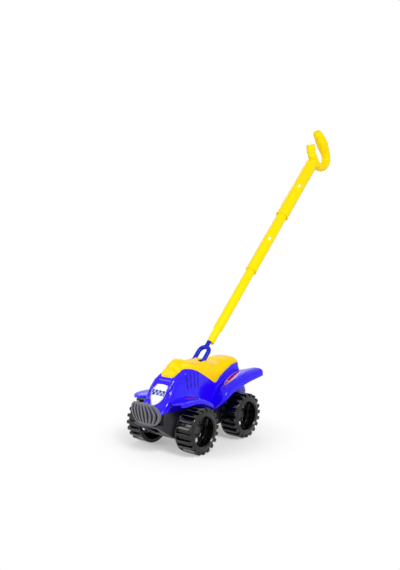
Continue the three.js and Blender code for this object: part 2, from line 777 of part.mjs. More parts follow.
// The cover's stations, front to rear: its place as a share of the body's length, its crown as a
// share of the body's height, how square its section is and its share of the deck's half width.
const coverShares = [
  // along, crown, squareness from less than 1 for a squarer section than an ellipse, half width
  [0.182, 0.916, 0.85, 0.7],
  [0.187, 0.941, 0.9, 0.74],
  [0.198, 0.965, 1, 0.8],
  [0.211, 0.978, 1.05, 0.85],
  [0.224, 0.99, 1.15, 0.9],
  [0.232, 1.016, 1.4, 0.93],
  [0.243, 1.041, 1.5, 0.97],
  [0.256, 1.058, 1.5, 1],
  [0.27, 1.068, 1.3, 1],
  [0.289, 1.075, 1.15, 1],
  [0.307, 1.075, 1.05, 1],
  [0.326, 1.069, 1, 1],
  [0.346, 1.056, 0.92, 1],
  [0.367, 1.042, 0.86, 1],
  [0.389, 1.027, 0.8, 1],
  [0.411, 1.019, 0.75, 1],
  [0.489, 1.015, 0.72, 1],
  [0.533, 1.021, 0.72, 1],
  [0.559, 1.012, 0.72, 1],
  [0.578, 0.997, 0.74, 1],
  [0.604, 0.968, 0.78, 1],
  [0.63, 0.943, 0.8, 1],
  [0.667, 0.929, 0.8, 1],
  [0.707, 0.937, 0.78, 1],
  [0.744, 0.958, 0.75, 1],
  [0.778, 0.972, 0.72, 1],
  [0.867, 0.966, 0.72, 1],
  [0.893, 0.952, 0.72, 1],
  [0.905, 0.928, 0.74, 1],
  [0.91, 0.906, 0.78, 1],
];

// One section of the cover: a half superellipse that stands on the body's deck.
function coverRing([y, crown, squareness, halfShare], inset, drop) {
  const foot = deckAt(y) + clearance;
  const half = halfShare * deckHalfAt(y) + coverProud - inset;
  const height = crown - inset - foot;
  const steps = 7;
  const ring = Array.from({ length: 2 * steps + 1 }, (_, k) => {
    const angle = (Math.PI * k) / (2 * steps);
    const [across, up] = [Math.cos(angle), Math.sin(angle)].map(
      (value) => Math.sign(value) * Math.abs(value) ** squareness,
    );
    return new THREE.Vector3(half * across, y, foot + height * up);
  });
  ring.push(new THREE.Vector3(-half, y, foot - drop));
  ring.unshift(new THREE.Vector3(half, y, foot - drop));
  return ring;
}

// A body station with its shoulder and deck raised by the clearance under the cover.
function raised([y, ...section]) {
  return [y, ...section.map((size, i) => (i < section.length / 2 ? size : size + clearance))];
}

function coverSolid() {
  const stations = coverShares.map(([along, crown, ...section]) => [
    along * bodyLength - bodyFront,
    crown * bodyHeight,
    ...section,
  ]);
  const length = stations.at(-1)[0] - stations[0][0];
  const shorter = 1 - (2 * coverWall) / length;
  const outer = loft(stations.map((station) => coverRing(station, 0, coverSkirt)));
  const inner = loft(
    stations.map(([y, ...sizes]) => coverRing([y * shorter, ...sizes], coverWall, 2 * coverSkirt)),
  );
  const body = loft(bodyStations.map((station) => bodyRing(raised(station), 0, 0)));
  const lean = THREE.MathUtils.degToRad(poleLean);
  const reach = forkBar + legSlot;
  const underLeg = (along) => [
    pivotAft + along * Math.cos(lean) + reach * Math.sin(lean),
    pivotHeight + along * Math.sin(lean) - reach * Math.cos(lean),
  ];
  const slot = sidePlate(
    [
      [pivotAft - reach, 0],
      underLeg(0),
      underLeg(2 * forkCrown),
      [pivotAft - reach, 2 * pivotHeight],
    ],
    reach,
  );
  const slots = [-forkHalf, forkHalf].map((x) => moved(slot, x, 0, 0));
  return cutBy(outer, [inner, body, ...slots]);
}

// Fork: a stem, a U and two eyes on the pin. Along the pole is +Y from the pivot.
function forkSolid() {
  const side = new THREE.Vector3(0, 0, 1);
  const bend = forkCrown - forkHalf;
  const steps = 8;
  const arc = Array.from({ length: steps + 1 }, (_, k) => {
    const angle = (Math.PI * k) / steps;
    return new THREE.Vector3(
      forkHalf * Math.cos(angle),
      bend + forkHalf * Math.sin(angle),
      0,
    );
  });
  const points = [
    new THREE.Vector3(forkHalf, 0, 0),
    ...arc,
    new THREE.Vector3(-forkHalf, 0, 0),
  ];
  const loop = bar(points, points.map(() => forkBar), side);
  const eye = acrossX(rod(eyeRadius, forkHalf - forkBar, forkHalf + forkBar));
  const bore = acrossX(rod(pinRadius + clearance, -forkHalf - 2 * forkBar, forkHalf + 2 * forkBar));
  const stem = rod(forkBar, forkCrown, socketStart - clearance);
  const tang = rod(tangRadius, forkCrown, forkStem, ringSides);
  return joined([loop, bothSides(eye), stem, tang]).subtract(bore);
}

const pinEnd = forkHalf + forkBar + pinStand;

// Tubes: their axis is +Y, and a larger tube slides over the end of a smaller one.
const middleRadius = lowerRadius + clearance + middleWall;
const upperRadius = middleRadius + clearance + upperWall;

function lowerTubeSolid() {
  const end = middleStart + tubeInsert;
  const bore = lowerRadius - lowerWall;
  const tube = turned([
    [0, socketStart],
    [socketRadius, socketStart],
    [socketRadius, tubeStart],
    [lowerRadius, tubeStart + lowerRadius - socketRadius],
    [lowerRadius, end],
    [bore, end],
    [bore, tubeStart + tubeEndWall],
    [0, tubeStart + tubeEndWall],
  ]);
  const socket = rod(tangRadius + clearance, socketStart - overrun, forkStem + clearance, ringSides);
  return tube.subtract(moved(socket, 0, 0, poleOffset));
}

// An outer tube with a collar at its lower end and a latch window above that.
function outerTubeSolid(radius, wall, start, end) {
  const bore = radius - wall;
  const tube = turned([
    [radius + collarStand, start],
    [radius + collarStand, start + collarLength],
    [radius, start + collarLength + collarStand],
    [radius, end],
    [bore, end],
    [bore, start],
  ]);
  const window = box(2 * latchHalf, latchLength, 2 * wall);
  const placed = moved(window, 0, start + windowAlong + latchLength / 2, radius - wall / 2);
  return tube.subtract(placed.rotate([0, latchTurn, 0]));
}

// The C's centre line, from the tip of the inner arm round its back to the tip of the outer arm.
const gripShares = [
  // share of the span, share of the reach, share of the inner arm's radius
  [0.24, 0.87, 0.94],
  [0.05, 0.47, 1],
  [0, 0, 1],
  [0, -0.37, 1],
  [0.12, -0.7, 1],
  [0.33, -0.92, 1.02],
  [0.56, -0.98, 1.04],
  [0.75, -0.92, 1.04],
  [0.87, -0.78, 1.02],
  [0.94, -0.52, 1.06],
  [0.97, -0.28, 1.18],
  [1.01, 0.1, 1.29],
  [1.02, 0.5, 1.18],
  [1, 0.92, 0.9],
];

function gripSolid() {
  const side = new THREE.Vector3(1, 0, 0);
  const centre = gripShares.map(
    ([along, up]) => new THREE.Vector3(0, gripInner + along * gripSpan, up * gripReach),
  );
  const curve = new THREE.CatmullRomCurve3(centre);
  const steps = 2 * (gripShares.length - 1);
  const stations = Array.from({ length: steps + 1 }, (_, k) => k / steps);
  const points = stations.map((share) => curve.getPoint(share));
  const radii = stations.map((share) => {
    const table = gripShares.map(([, , radius], i) => [i / (gripShares.length - 1), radius]);
    return gripBar * at(table, share, 1);
  });
  const outer = bar(...domed(points, radii), side, gripSides);
  const hollow = bar(points, radii.map((radius) => radius - gripWall), side);
  const spigot = upperRadius - upperWall - clearance;
  const neck = turned([
    [0, upperEnd - gripSpigot],
    [spigot, upperEnd - gripSpigot],
    [spigot, upperEnd + clearance],
    [upperRadius, upperEnd + clearance],
    [upperRadius, upperEnd + 2 * upperWall],
    [gripNeck, gripInner - gripNeck],
    [gripNeck, gripInner],
    [0, gripInner],
  ]);
  const bore = rod(gripNeck - gripWall, upperEnd - gripSpigot - overrun, gripInner);
  return cutBy(outer.add(neck), [hollow, bore]);
}

// Adds a dome to both ends of a bar's points and radii.
function domed(points, radii) {
  const domeShares = [0.33, 0.67, 0.89]; // of a quarter turn
  const domeOf = (end, before, radius) => {
    const out = end.clone().sub(before).normalize();
    return domeShares.map((share) => [
      end.clone().addScaledVector(out, radius * Math.sin(share * quarter)),
      radius * Math.cos(share * quarter),
    ]);
  };
  const head = domeOf(points[0], points[1], radii[0]).reverse();
  const tail = domeOf(points.at(-1), points.at(-2), radii.at(-1));
  return [
    [...head.map(([point]) => point), ...points, ...tail.map(([point]) => point)],
    [...head.map(([, radius]) => radius), ...radii, ...tail.map(([, radius]) => radius)],
  ];
}

const toy = new THREE.Group();
toy.name = "push_toy";
toy.add(meshOf("body_shell", bodySolid(), finishes.body));
toy.add(meshOf("seat_cover", coverSolid(), finishes.cover));
toy.add(meshOf("chassis", chassisSolid(), finishes.chassis));
toy.add(meshOf("front_grille", grilleSolid(), finishes.chassis));
const pin = acrossX(rod(pinRadius, -pinEnd, pinEnd));
toy.add(meshOf("handle_pin", moved(pin, 0, pivotAft, pivotHeight), finishes.steel));

for (const end of [-1, 1]) {
  const endName = end < 0 ? "front" : "rear";
  const y = (end * wheelBase) / 2;
  const axle = moved(axleSolid(), 0, y, wheelRadius);
  toy.add(meshOf(`${endName}_axle`, axle, finishes.steel));
  for (const side of [1, -1]) {
    const sideName = side > 0 ? "left" : "right";
    const place = (solid, x) => {
      const laid = moved(acrossX(solid), x, y, wheelRadius);
      return side > 0 ? laid : mirrored(laid);
    };
    const name = `${endName}_${sideName}`;
    toy.add(meshOf(`${name}_wheel`, place(wheelSolid(), wheelInner), finishes.wheel));
    toy.add(meshOf(`${name}_axle_cap`, place(capSolid(), capPlace), finishes.chassis));
    const screw = screwSolid(side * postAcross, end * postAlong);
    toy.add(meshOf(`${name}_body_screw`, screw, finishes.steel));
  }
}

const pole = new THREE.Group();
pole.name = "pole";
pole.position.set(0, pivotAft, pivotHeight);
pole.rotation.x = THREE.MathUtils.degToRad(poleLean);
pole.add(meshOf("handle_fork", forkSolid(), finishes.fork));
const tubes = [
  ["lower_tube", lowerTubeSolid()],
  ["middle_tube", outerTubeSolid(middleRadius, middleWall, middleStart, upperStart + tubeInsert)],
  ["upper_tube", outerTubeSolid(upperRadius, upperWall, upperStart, upperEnd)],
  ["grip", gripSolid()],
];
for (const [name, solid] of tubes) {
  const tube = meshOf(name, solid, finishes.pole);
  tube.position.z = -poleOffset;
  pole.add(tube);
}
toy.add(pole);

// The origin is on the floor, under the middle of the whole toy.
toy.updateMatrixWorld(true);
const bounds = new THREE.Box3().setFromObject(toy, true);
toy.position.y = -(bounds.min.y + bounds.max.y) / 2;

export default toy;
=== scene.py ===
import math

import bmesh
import bpy
import numpy as np
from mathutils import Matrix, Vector


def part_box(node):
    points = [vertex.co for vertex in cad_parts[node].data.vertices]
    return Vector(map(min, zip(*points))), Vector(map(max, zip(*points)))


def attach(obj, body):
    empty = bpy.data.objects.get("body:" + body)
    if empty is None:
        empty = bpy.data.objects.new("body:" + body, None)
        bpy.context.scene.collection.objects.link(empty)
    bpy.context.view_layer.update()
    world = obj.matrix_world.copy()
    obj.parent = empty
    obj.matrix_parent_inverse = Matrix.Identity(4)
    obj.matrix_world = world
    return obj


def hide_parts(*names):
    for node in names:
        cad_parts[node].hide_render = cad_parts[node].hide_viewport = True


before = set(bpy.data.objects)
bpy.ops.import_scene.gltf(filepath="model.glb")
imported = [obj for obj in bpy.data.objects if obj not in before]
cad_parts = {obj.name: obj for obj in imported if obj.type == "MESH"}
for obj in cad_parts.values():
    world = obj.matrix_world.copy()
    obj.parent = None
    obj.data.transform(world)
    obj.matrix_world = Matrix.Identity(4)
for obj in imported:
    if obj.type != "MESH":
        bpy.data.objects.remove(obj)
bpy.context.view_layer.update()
print("frame loaded:", len(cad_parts), "nodes")

# Every size below is in millimetres, with y measured from the middle of the wheelbase.
mm = 0.001
wheelBase = 139.0
frontWheelLow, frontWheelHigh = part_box("front_left_wheel")
shiftY = (frontWheelLow.y + frontWheelHigh.y) / 2 / mm + wheelBase / 2  # to the frame's own y
poleLean = math.radians(44)  # over the level, at rest
pivot = np.array([0, 1.998, 148.933])  # the pin that the pole tilts on


def smoothThrough(x, xs, ys):
    # Cubic Hermite curve through the points (xs, ys): each slope is the harmonic mean of the two
    # neighbouring chords, or zero where they differ in sign, so it never overshoots a point.
    x, xs, ys = (np.asarray(a, float) for a in (x, xs, ys))
    step = np.diff(xs)
    chord = np.diff(ys) / step
    slope = np.zeros_like(ys)
    same = chord[:-1] * chord[1:] > 0
    slope[1:-1][same] = 2 * chord[:-1][same] * chord[1:][same] / (chord[:-1] + chord[1:])[same]
    slope[0], slope[-1] = chord[0], chord[-1]
    i = np.clip(np.searchsorted(xs, x, side="right") - 1, 0, len(step) - 1)
    t = (x - xs[i]) / step[i]
    return (
        (1 + 2 * t) * (1 - t) ** 2 * ys[i]
        + t * (1 - t) ** 2 * step[i] * slope[i]
        + t * t * (3 - 2 * t) * ys[i + 1]
        + t * t * (t - 1) * step[i] * slope[i + 1]
    )


def hump(x, centre, width):
    # A bell: e to the power of minus the square of the distance from the centre in widths.
    return np.exp(-(((x - centre) / width) ** 2))


def softStep(x, low, high):
    # 0 up to low, 1 from high, and 3 t^2 - 2 t^3 between them.
    t = np.clip((x - low) / (high - low), 0, 1)
    return t * t * (3 - 2 * t)


def plateau(x, a, b, c, d):
    # A soft step up from a to b, and one down from c to d.
    return softStep(x, a, b) * (1 - softStep(x, c, d))


def unitVectors(v):
    # The same directions with length 1.
    return v / np.maximum(np.linalg.norm(v, axis=-1, keepdims=True), 1e-9)


def gridFaces(rows, cols, closedRows=False, closedCols=False):
    # Quads between neighbouring grid points, going round where the grid closes.
    r = np.arange(rows if closedRows else rows - 1)
    c = np.arange(cols if closedCols else cols - 1)
    r, c = np.meshgrid(r, c, indexing="ij")
    r2, c2 = (r + 1) % rows, (c + 1) % cols
    quads = np.stack([r * cols + c, r * cols + c2, r2 * cols + c2, r2 * cols + c], -1)
    return quads.reshape(-1, 4)


def newObject(name, data):
    # An object in the scene that shows a mesh, a lamp or a camera.
    made = bpy.data.objects.new(name, data)
    bpy.context.scene.collection.objects.link(made)
    return made


def meshFrom(name, points, faces):
    # Points in millimetres in the toy's frame, and faces as lists of point numbers.
    points = np.asarray(points, float).reshape(-1, 3) + (0, shiftY, 0)
    mesh = bpy.data.meshes.new(name)
    mesh.from_pydata((points * mm).tolist(), [], [list(f) for f in faces])
    mesh.validate()
    mesh.update()
    return newObject(name, mesh)


def mergeDoubles(piece, distance=1e-7):
    # Joins points closer than the distance, in metres, and turns all faces outwards.
    work = bmesh.new()
    work.from_mesh(piece.data)
    bmesh.ops.remove_doubles(work, verts=work.verts, dist=distance)
    bmesh.ops.recalc_face_normals(work, faces=work.faces)
    work.to_mesh(piece.data)
    work.free()
    return piece


def gridPiece(name, grid, closedRows=True, distance=1e-7):
    # A mesh on a grid of points whose rows are rings. It may also close from last row to first.
    faces = gridFaces(*grid.shape[:2], closedRows, True)
    return mergeDoubles(meshFrom(name, grid, faces), distance)


def stackedPiece(name, sections):
    # Sections of equal length joined by quads, with a flat face over the first and the last.
    sections = np.asarray(sections)
    rows, count = sections.shape[:2]
    faces = gridFaces(rows, count, closedCols=True).tolist()
    last = (rows - 1) * count
    faces += [list(range(count)), list(range(last + count - 1, last - 1, -1))]
    return mergeDoubles(meshFrom(name, sections, faces))


def extruded(name, outline, low, high):
    # An outline in y and z carried along x from low to high, closed by its two faces.
    sections = [np.column_stack([np.full(len(outline), x), outline]) for x in (low, high)]
    return stackedPiece(name, sections)


def applyModifiers(piece):
    # The mesh becomes what its modifiers show.
    graph = bpy.context.evaluated_depsgraph_get()
    made = bpy.data.meshes.new_from_object(piece.evaluated_get(graph))
    piece.modifiers.clear()
    piece.data = made
    return piece


def thicken(piece, thickness):
    # An open skin gets a wall, which grows inwards.
    wall = piece.modifiers.new("wall", "SOLIDIFY")
    wall.thickness = thickness * mm
    wall.offset = -1.0
    wall.use_even_offset = False
    return applyModifiers(piece)


def roundEdges(piece, width, angle=32):
    # Every edge that turns by more than the angle gets a round of two segments.
    edge = piece.modifiers.new("edges", "BEVEL")
    edge.width = width * mm
    edge.segments = 2
    edge.limit_method = "ANGLE"
    edge.angle_limit = math.radians(angle)
    edge.harden_normals = False
    return applyModifiers(piece)


def joinPieces(name, pieces):
    # One object that holds the meshes of several.
    work = bmesh.new()
    for piece in pieces:
        work.from_mesh(piece.data)
        bpy.data.objects.remove(piece)
    mesh = bpy.data.meshes.new(name)
    work.to_mesh(mesh)
    work.free()
    return newObject(name, mesh)


def dress(piece, material, body, slot, *nodes, crease=40):
    # Smooth up to the crease angle, with its material, and tied to the frame.
    piece.data.polygons.foreach_set("use_smooth", np.ones(len(piece.data.polygons), bool))
    piece.data.set_sharp_from_angle(angle=math.radians(crease))
    piece.data.materials.clear()
    piece.data.materials.append(material)
    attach(piece, body)
    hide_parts(*nodes)


def polePoint(points):
    # Across, along and up from the pole's axis plane, turned by the lean into the toy's frame.
    points = np.asarray(points, float)
    c, s = math.cos(poleLean), math.sin(poleLean)
    x, along, up = points[..., 0], points[..., 1], points[..., 2]
    return np.stack([x, pivot[1] + along * c - up * s, pivot[2] + along * s + up * c], -1)


def turnedPoints(profile, count):
    # A profile of (radius, along) pairs carried round the y axis: rows follow the profile.
    radius, along = np.asarray(profile, float).T
    angle = np.linspace(0, 2 * math.pi, count, endpoint=False)
    x, z = radius[:, None] * np.sin(angle), radius[:, None] * np.cos(angle)
    return np.stack([x, np.repeat(along[:, None], count, 1), z], -1)


def roundedProfile(corners, steps):
    # Corners are (a, b, reach). Each gives way to the quadratic arc (1 - t)^2 start + 2 t (1 - t)
    # corner + t^2 end, whose ends lie that reach, or 0.49 of the side, from the corner.
    made = []
    t = np.linspace(0, 1, steps)[:, None]
    for i, (a, b, reach) in enumerate(corners):
        here = np.array([[a, b]], float)
        if reach == 0:
            made.append(here)
            continue
        ends = []
        for other in (corners[i - 1], corners[(i + 1) % len(corners)]):
            side = np.array(other[:2], float) - here
            ends.append(here + side * min(0.49, reach / np.linalg.norm(side)))
        made.append((1 - t) ** 2 * ends[0] + 2 * t * (1 - t) * here + t * t * ends[1])
    return np.concatenate(made)


def cutAway(piece, cutter):
    # Takes the closed cutter out of the piece and removes it.
    cut = piece.modifiers.new("cut", "BOOLEAN")
    cut.operation = "DIFFERENCE"
    cut.solver = "EXACT"
    cut.object = cutter
    applyModifiers(piece)
    bpy.data.objects.remove(cutter)
    return piece


def hexLinear(code):
    # An sRGB hex colour as linear red, green, blue and a full alpha.
    parts = [int(code[i:i + 2], 16) / 255 for i in (1, 3, 5)]
    return [p / 12.92 if p <= 0.04045 else ((p + 0.055) / 1.055) ** 2.4 for p in parts] + [1]


def feed(tree, node, values):
    # Fills inputs, by name or number, each from a node's first output, an output or a constant.
    for key, value in values.items():
        if isinstance(value, bpy.types.Node):
            value = value.outputs[0]
        if isinstance(value, bpy.types.NodeSocket):
            tree.links.new(value, node.inputs[key])
        else:
            node.inputs[key].default_value = value


def addNode(tree, kind, settings=None, **values):
    # Adds a node. Each value goes to the input it names, or to a number, as in0, in1 and so on.
    node = tree.nodes.new(kind)
    for key, value in (settings or {}).items():
        setattr(node, key, value)
    feed(tree, node, {int(key[2:]) if key[2:].isdigit() else key: values[key] for key in values})
    return node


def fillRamp(ramp, stops, interpolation="LINEAR"):
    # Sets a ramp's stops; a stop is a place from 0 to 1 and a grey value or a hex colour.
    ramp.color_ramp.interpolation = interpolation
    elements = ramp.color_ramp.elements
    while len(elements) < len(stops):
        elements.new(1)
    for element, (place, value) in zip(elements, stops):
        element.position = place
        element.color = hexLinear(value) if isinstance(value, str) else (value, value, value, 1)
    return ramp


def newMaterial(name):
    # A material, its tree, its shader and the place on the object, in metres.
    material = bpy.data.materials.new(name)
    material.use_nodes = True
    tree = material.node_tree
    place = addNode(tree, "ShaderNodeTexCoord").outputs["Object"]
    return material, tree, tree.nodes["Principled BSDF"], place


def paintOver(tree, base, colour, mask, *others):
    # Lays the colour over the base as far as the product of the masks says.
    for other in others:
        mask = addNode(tree, "ShaderNodeMath", {"operation": "MULTIPLY"}, in0=mask, in1=other)
    mixed = addNode(tree, "ShaderNodeMix", {"data_type": "RGBA"}, in0=mask, in6=base, in7=colour)
    return mixed.outputs[2]


def spotMask(tree, place, centre, radius, fade):
    # 1 round the centre, falling to 0 over the last of the radius.
    far = addNode(tree, "ShaderNodeVectorMath", {"operation": "DISTANCE"}, in0=place, in1=centre)
    return addNode(
        tree, "ShaderNodeMapRange", in0=far.outputs["Value"],
        in1=(radius - fade) * mm, in2=radius * mm, in3=1, in4=0,
    )


mouldedPlastic = {
    "mottle": 60,  # per metre: the slow drift of shade that a moulding shows, about 17 mm wide
    "texture": 500,  # per metre: the orange peel of a polished mould, about 2 mm wide
    "textureDepth": 0.03,
    "textureStrength": 0.2,
    "glossDrift": (0.85, 1.2),  # least and most, as shares of the roughness
    "driftSpan": (0.3, 0.7),  # the values of the drift between which the gloss changes
    "ior": 1.49,
}


def plasticMaterial(name, colour, shade, roughness, peel, shine, paint=None):
    # Injection-moulded plastic: nearly even colour that drifts a little towards a darker shade,
    # with a gloss that changes slowly and a faint orange peel.
    m = mouldedPlastic
    material, tree, shader, place = newMaterial(name)
    drift = addNode(tree, "ShaderNodeTexNoise", Vector=place, Scale=m["mottle"], Detail=3)
    surface = paintOver(tree, hexLinear(colour), hexLinear(shade), drift)
    if paint:
        surface = paint(tree, place, surface)
    low, high = m["driftSpan"]
    least, most = m["glossDrift"]
    gloss = addNode(
        tree, "ShaderNodeMapRange", in0=drift,
        in1=low, in2=high, in3=roughness * least, in4=roughness * most,
    )
    grain = addNode(tree, "ShaderNodeTexNoise", Vector=place, Scale=m["texture"], Detail=2)
    bump = addNode(
        tree, "ShaderNodeBump", Strength=m["textureStrength"] * peel,
        Distance=m["textureDepth"] * mm, Height=grain,
    )
    feed(tree, shader, {"Base Color": surface, "Roughness": gloss, "Normal": bump})
    feed(tree, shader, {"IOR": m["ior"], "Specular IOR Level": shine})
    return material


# Print on the body, two spots on its fenders and the painted shade of its vents, in millimetres
printSpotsAndShade = {
    # painted shade in the vents: its colour, and the share of it that a vent gets
    "ventShadeColour": "#0A0348",
    "ventShadeShare": 0.8,  # of that colour in a vent
    # the shield: foot and top, greatest half width, where that is, the power that rounds the foot
    # and what the top loses
    "shieldSpan": (94.2, 129.4),
    "shieldHalf": 17.4,
    "shieldWaist": 0.62,
    "shieldRound": 1.24,
    "shieldLoss": 0.24,
    "shieldTop": (0.1, 0.93),  # first and last stop over the waist, as shares of the way up
    "shieldSteps": (12, 9),  # stops under and over the waist
    "shieldBack": -94,
    # its rings: depth from the edge, and where each colour starts as a share of that depth
    "ringDepth": 6,
    "rings": [(0, "#F4F2FA"), (0.16, "#1B1470"), (0.3, "#F4F2FA")],
    "chequer": 4.6,
    "chequerRows": (24, 26),
    "chequerEdge": 1.8,  # from the shield's edge
    "chequerColours": ("#17134F", "#8FA2E8"),
    # tapered stripes: two ends (x, y), greatest half width, the taper and the colours across it
    "stripes": [
        {
            "ends": ((50, 31), (40, 100)), "half": 8,
            "taper": [(0, 0), (0.1, 0.5), (0.35, 1), (0.7, 0.8), (0.97, 0.4), (1, 0)],
            "bands": [
                (0, "#B9A8F0"), (0.16, "#C01A50"), (0.42, "#201070"), (0.6, "#C01A50"),
                (0.86, "#B9A8F0"),
            ],
        },
        {
            "ends": ((46.5, -90), (57.5, -63)), "half": 4.2,
            "taper": [(0, 0), (0.3, 0.8), (0.6, 1), (0.95, 0.5), (1, 0)],
            "bands": [(0, "#7A28C8"), (0.35, "#A81E80"), (0.7, "#7A28C8")],
        },
    ],
    # spots: place (x, y), radius and colour; the first is near-white, just past the front stripe's
    # end
    "spots": [((59.7, -58.6), 1.7, "#F0E8FF"), ((45.8, 47), 2.4, "#F0B8C8")],
    "fade": 0.3,
}


def filmMask(tree, outline, most, across):
    # The half width that the outline gives, how far inside it a place lies, and a mask that fades
    # in from the film's edge.
    half = addNode(tree, "ShaderNodeMath", {"operation": "MULTIPLY"}, in0=outline, in1=most * mm)
    inside = addNode(tree, "ShaderNodeMath", {"operation": "SUBTRACT"}, in0=half, in1=across)
    mask = addNode(tree, "ShaderNodeMapRange", in0=inside, in1=0, in2=printSpotsAndShade["fade"] * mm)
    return half, inside, mask


def paintBody(tree, place, base):
    # Painted shade darkens the blue in the vents and between the hood's ridges. A shield lies on
    # the hood and tapered stripes and spots on the fenders. Each shape is worked out from the
    # place, so its edges stay crisp.
    d = printSpotsAndShade
    # painted shade: the attribute sunk darkens the blue in the vents and between the hood's ridges
    paintedShade = addNode(tree, "ShaderNodeAttribute", {"attribute_name": "sunk"}).outputs["Fac"]
    base = paintOver(tree, base, hexLinear(d["ventShadeColour"]), paintedShade, d["ventShadeShare"])
    x, y, z = addNode(tree, "ShaderNodeSeparateXYZ", in0=place).outputs
    across = addNode(tree, "ShaderNodeMath", {"operation": "ABSOLUTE"}, in0=x)
    # shield: inside = half width at this height - |x|; the half width grows as sin(t) to the power
    # shieldRound from the foot, where t runs to a right angle at the waist, and falls as a parabola
    # above it
    low, high = d["shieldSpan"]
    waist = d["shieldWaist"]
    turn = np.linspace(0, math.pi / 2, d["shieldSteps"][0])
    rise = np.linspace(*d["shieldTop"], d["shieldSteps"][1])
    places = np.concatenate([waist * (1 - np.cos(turn)), waist + (1 - waist) * rise, [1]])
    halves = np.concatenate([np.sin(turn) ** d["shieldRound"], 1 - d["shieldLoss"] * rise**2, [0]])
    level = addNode(tree, "ShaderNodeMapRange", in0=z, in1=low * mm, in2=high * mm)
    outline = fillRamp(addNode(tree, "ShaderNodeValToRGB", in0=level), list(zip(places, halves)))
    half, inside, printed = filmMask(tree, outline, d["shieldHalf"], across)
    back = (d["shieldBack"] + shiftY) * mm
    onHood = addNode(tree, "ShaderNodeMath", {"operation": "LESS_THAN"}, in0=y, in1=back)
    depth = addNode(tree, "ShaderNodeMapRange", in0=inside, in1=0, in2=d["ringDepth"] * mm)
    rings = fillRamp(addNode(tree, "ShaderNodeValToRGB", in0=depth), d["rings"], "CONSTANT")
    base = paintOver(tree, base, rings, printed, onHood)
    # chequer band across the shield, inside its ring
    lowest, highest = (row * d["chequer"] * mm for row in d["chequerRows"])
    edge = d["chequerEdge"] * mm
    above = addNode(tree, "ShaderNodeMath", {"operation": "GREATER_THAN"}, in0=z, in1=lowest)
    below = addNode(tree, "ShaderNodeMath", {"operation": "LESS_THAN"}, in0=z, in1=highest)
    within = addNode(tree, "ShaderNodeMath", {"operation": "GREATER_THAN"}, in0=inside, in1=edge)
    # the same y everywhere, away from a square's edge
    flat = addNode(tree, "ShaderNodeCombineXYZ", in0=x, in1=0.5 * mm, in2=z)
    dark, pale = (hexLinear(code) for code in d["chequerColours"])
    checks = addNode(
        tree, "ShaderNodeTexChecker", Vector=flat, Color1=dark, Color2=pale,
        Scale=1 / (d["chequer"] * mm),
    )
    base = paintOver(tree, base, checks, above, below, within, onHood)
    # stripes: u along and v across each, from the place seen from above
    plan = addNode(tree, "ShaderNodeCombineXYZ", in0=across, in1=y, in2=0)
    for stripe in d["stripes"]:
        start, finish = (np.array(end, float) + (0, shiftY) for end in stripe["ends"])
        length = np.linalg.norm(finish - start)
        turn = -math.atan2(*(finish - start)[::-1])
        c, s = math.cos(turn), math.sin(turn)
        shift = (-(c * start[0] - s * start[1]) * mm, -(s * start[0] + c * start[1]) * mm, 0)
        laid = addNode(
            tree, "ShaderNodeMapping", Vector=plan, Location=shift, Rotation=(0, 0, turn)
        )
        u, v, _ = addNode(tree, "ShaderNodeSeparateXYZ", in0=laid).outputs
        run = addNode(tree, "ShaderNodeMapRange", in0=u, in1=0, in2=length * mm)
        taper = fillRamp(addNode(tree, "ShaderNodeValToRGB", in0=run), stripe["taper"], "CARDINAL")
        side = addNode(tree, "ShaderNodeMath", {"operation": "ABSOLUTE"}, in0=v)
        half, inside, printed = filmMask(tree, taper, stripe["half"], side)
        ratio = addNode(tree, "ShaderNodeMath", {"operation": "DIVIDE"}, in0=v, in1=half)
        spread = addNode(tree, "ShaderNodeMapRange", in0=ratio, in1=-1, in2=1)
        bands = addNode(tree, "ShaderNodeValToRGB", in0=spread)
        fillRamp(bands, stripe["bands"], "CONSTANT")
        base = paintOver(tree, base, bands, printed)
    for centre, radius, colour in d["spots"]:
        middle = (centre[0] * mm, (centre[1] + shiftY) * mm, 0)
        spot = spotMask(tree, plan, middle, radius, d["fade"])
        base = paintOver(tree, base, hexLinear(colour), spot)
    return base


# painted shade on the part of the tub's front that the grille's bars cover: lowest and highest
# corner
grilleShade = {"corners": ((-34, -136.5, 62), (34, -130, 105)), "colour": "#0B0B0D"}


def paintTubShade(tree, place, base):
    # Paints shade on the tub inside that box, where each of x, y and z is between the corners'.
    masks = []
    low, high = np.array(grilleShade["corners"]) + (0, shiftY, 0)
    values = addNode(tree, "ShaderNodeSeparateXYZ", in0=place).outputs
    for value, least, most in zip(values, low * mm, high * mm):
        for side, limit in (("GREATER_THAN", least), ("LESS_THAN", most)):
            masks.append(addNode(tree, "ShaderNodeMath", {"operation": side}, in0=value, in1=limit))
    return paintOver(tree, base, hexLinear(grilleShade["colour"]), *masks)


# Polypropylene, moulded and polished: the printed blue is glossy, the rest has a soft shine. The
# grey mouldings are satin, with a coarser peel. The wheels are black and glossy polyethylene.
# Each row: name, colour, shade, roughness, peel, shine and what is painted on it.
plastics = (
    ("glossyBluePolypropylene", "#2C02FC", "#2000E2", 0.16, 0.3, 0.3, paintBody),
    ("forkBluePolypropylene", "#0A24C8", "#061AAE", 0.24, 0.5, 0.18),
    ("warmYellowPolypropylene", "#FFD600", "#FFCC00", 0.3, 0.3, 0.1),
    ("satinGreyPolypropylene", "#3A383E", "#302E34", 0.4, 2, 0.3, paintTubShade),
    ("paleGreyPolypropylene", "#707074", "#606065", 0.38, 2, 0.3),
    ("glossyBlackPolyethylene", "#060608", "#030304", 0.12, 1, 0.42),
)
decoratedBlue, forkPlastic, seatPlastic, greyPlastic, grillePlastic, blackPlastic = (
    plasticMaterial(*row) for row in plastics
)

steelWire = {
    "colour": "#B9BCC2",
    "streaks": (60, 4000, 4000),  # per metre: about 17 mm along the wire, 0.25 mm across it
    "roughness": (0.22, 0.4),
}


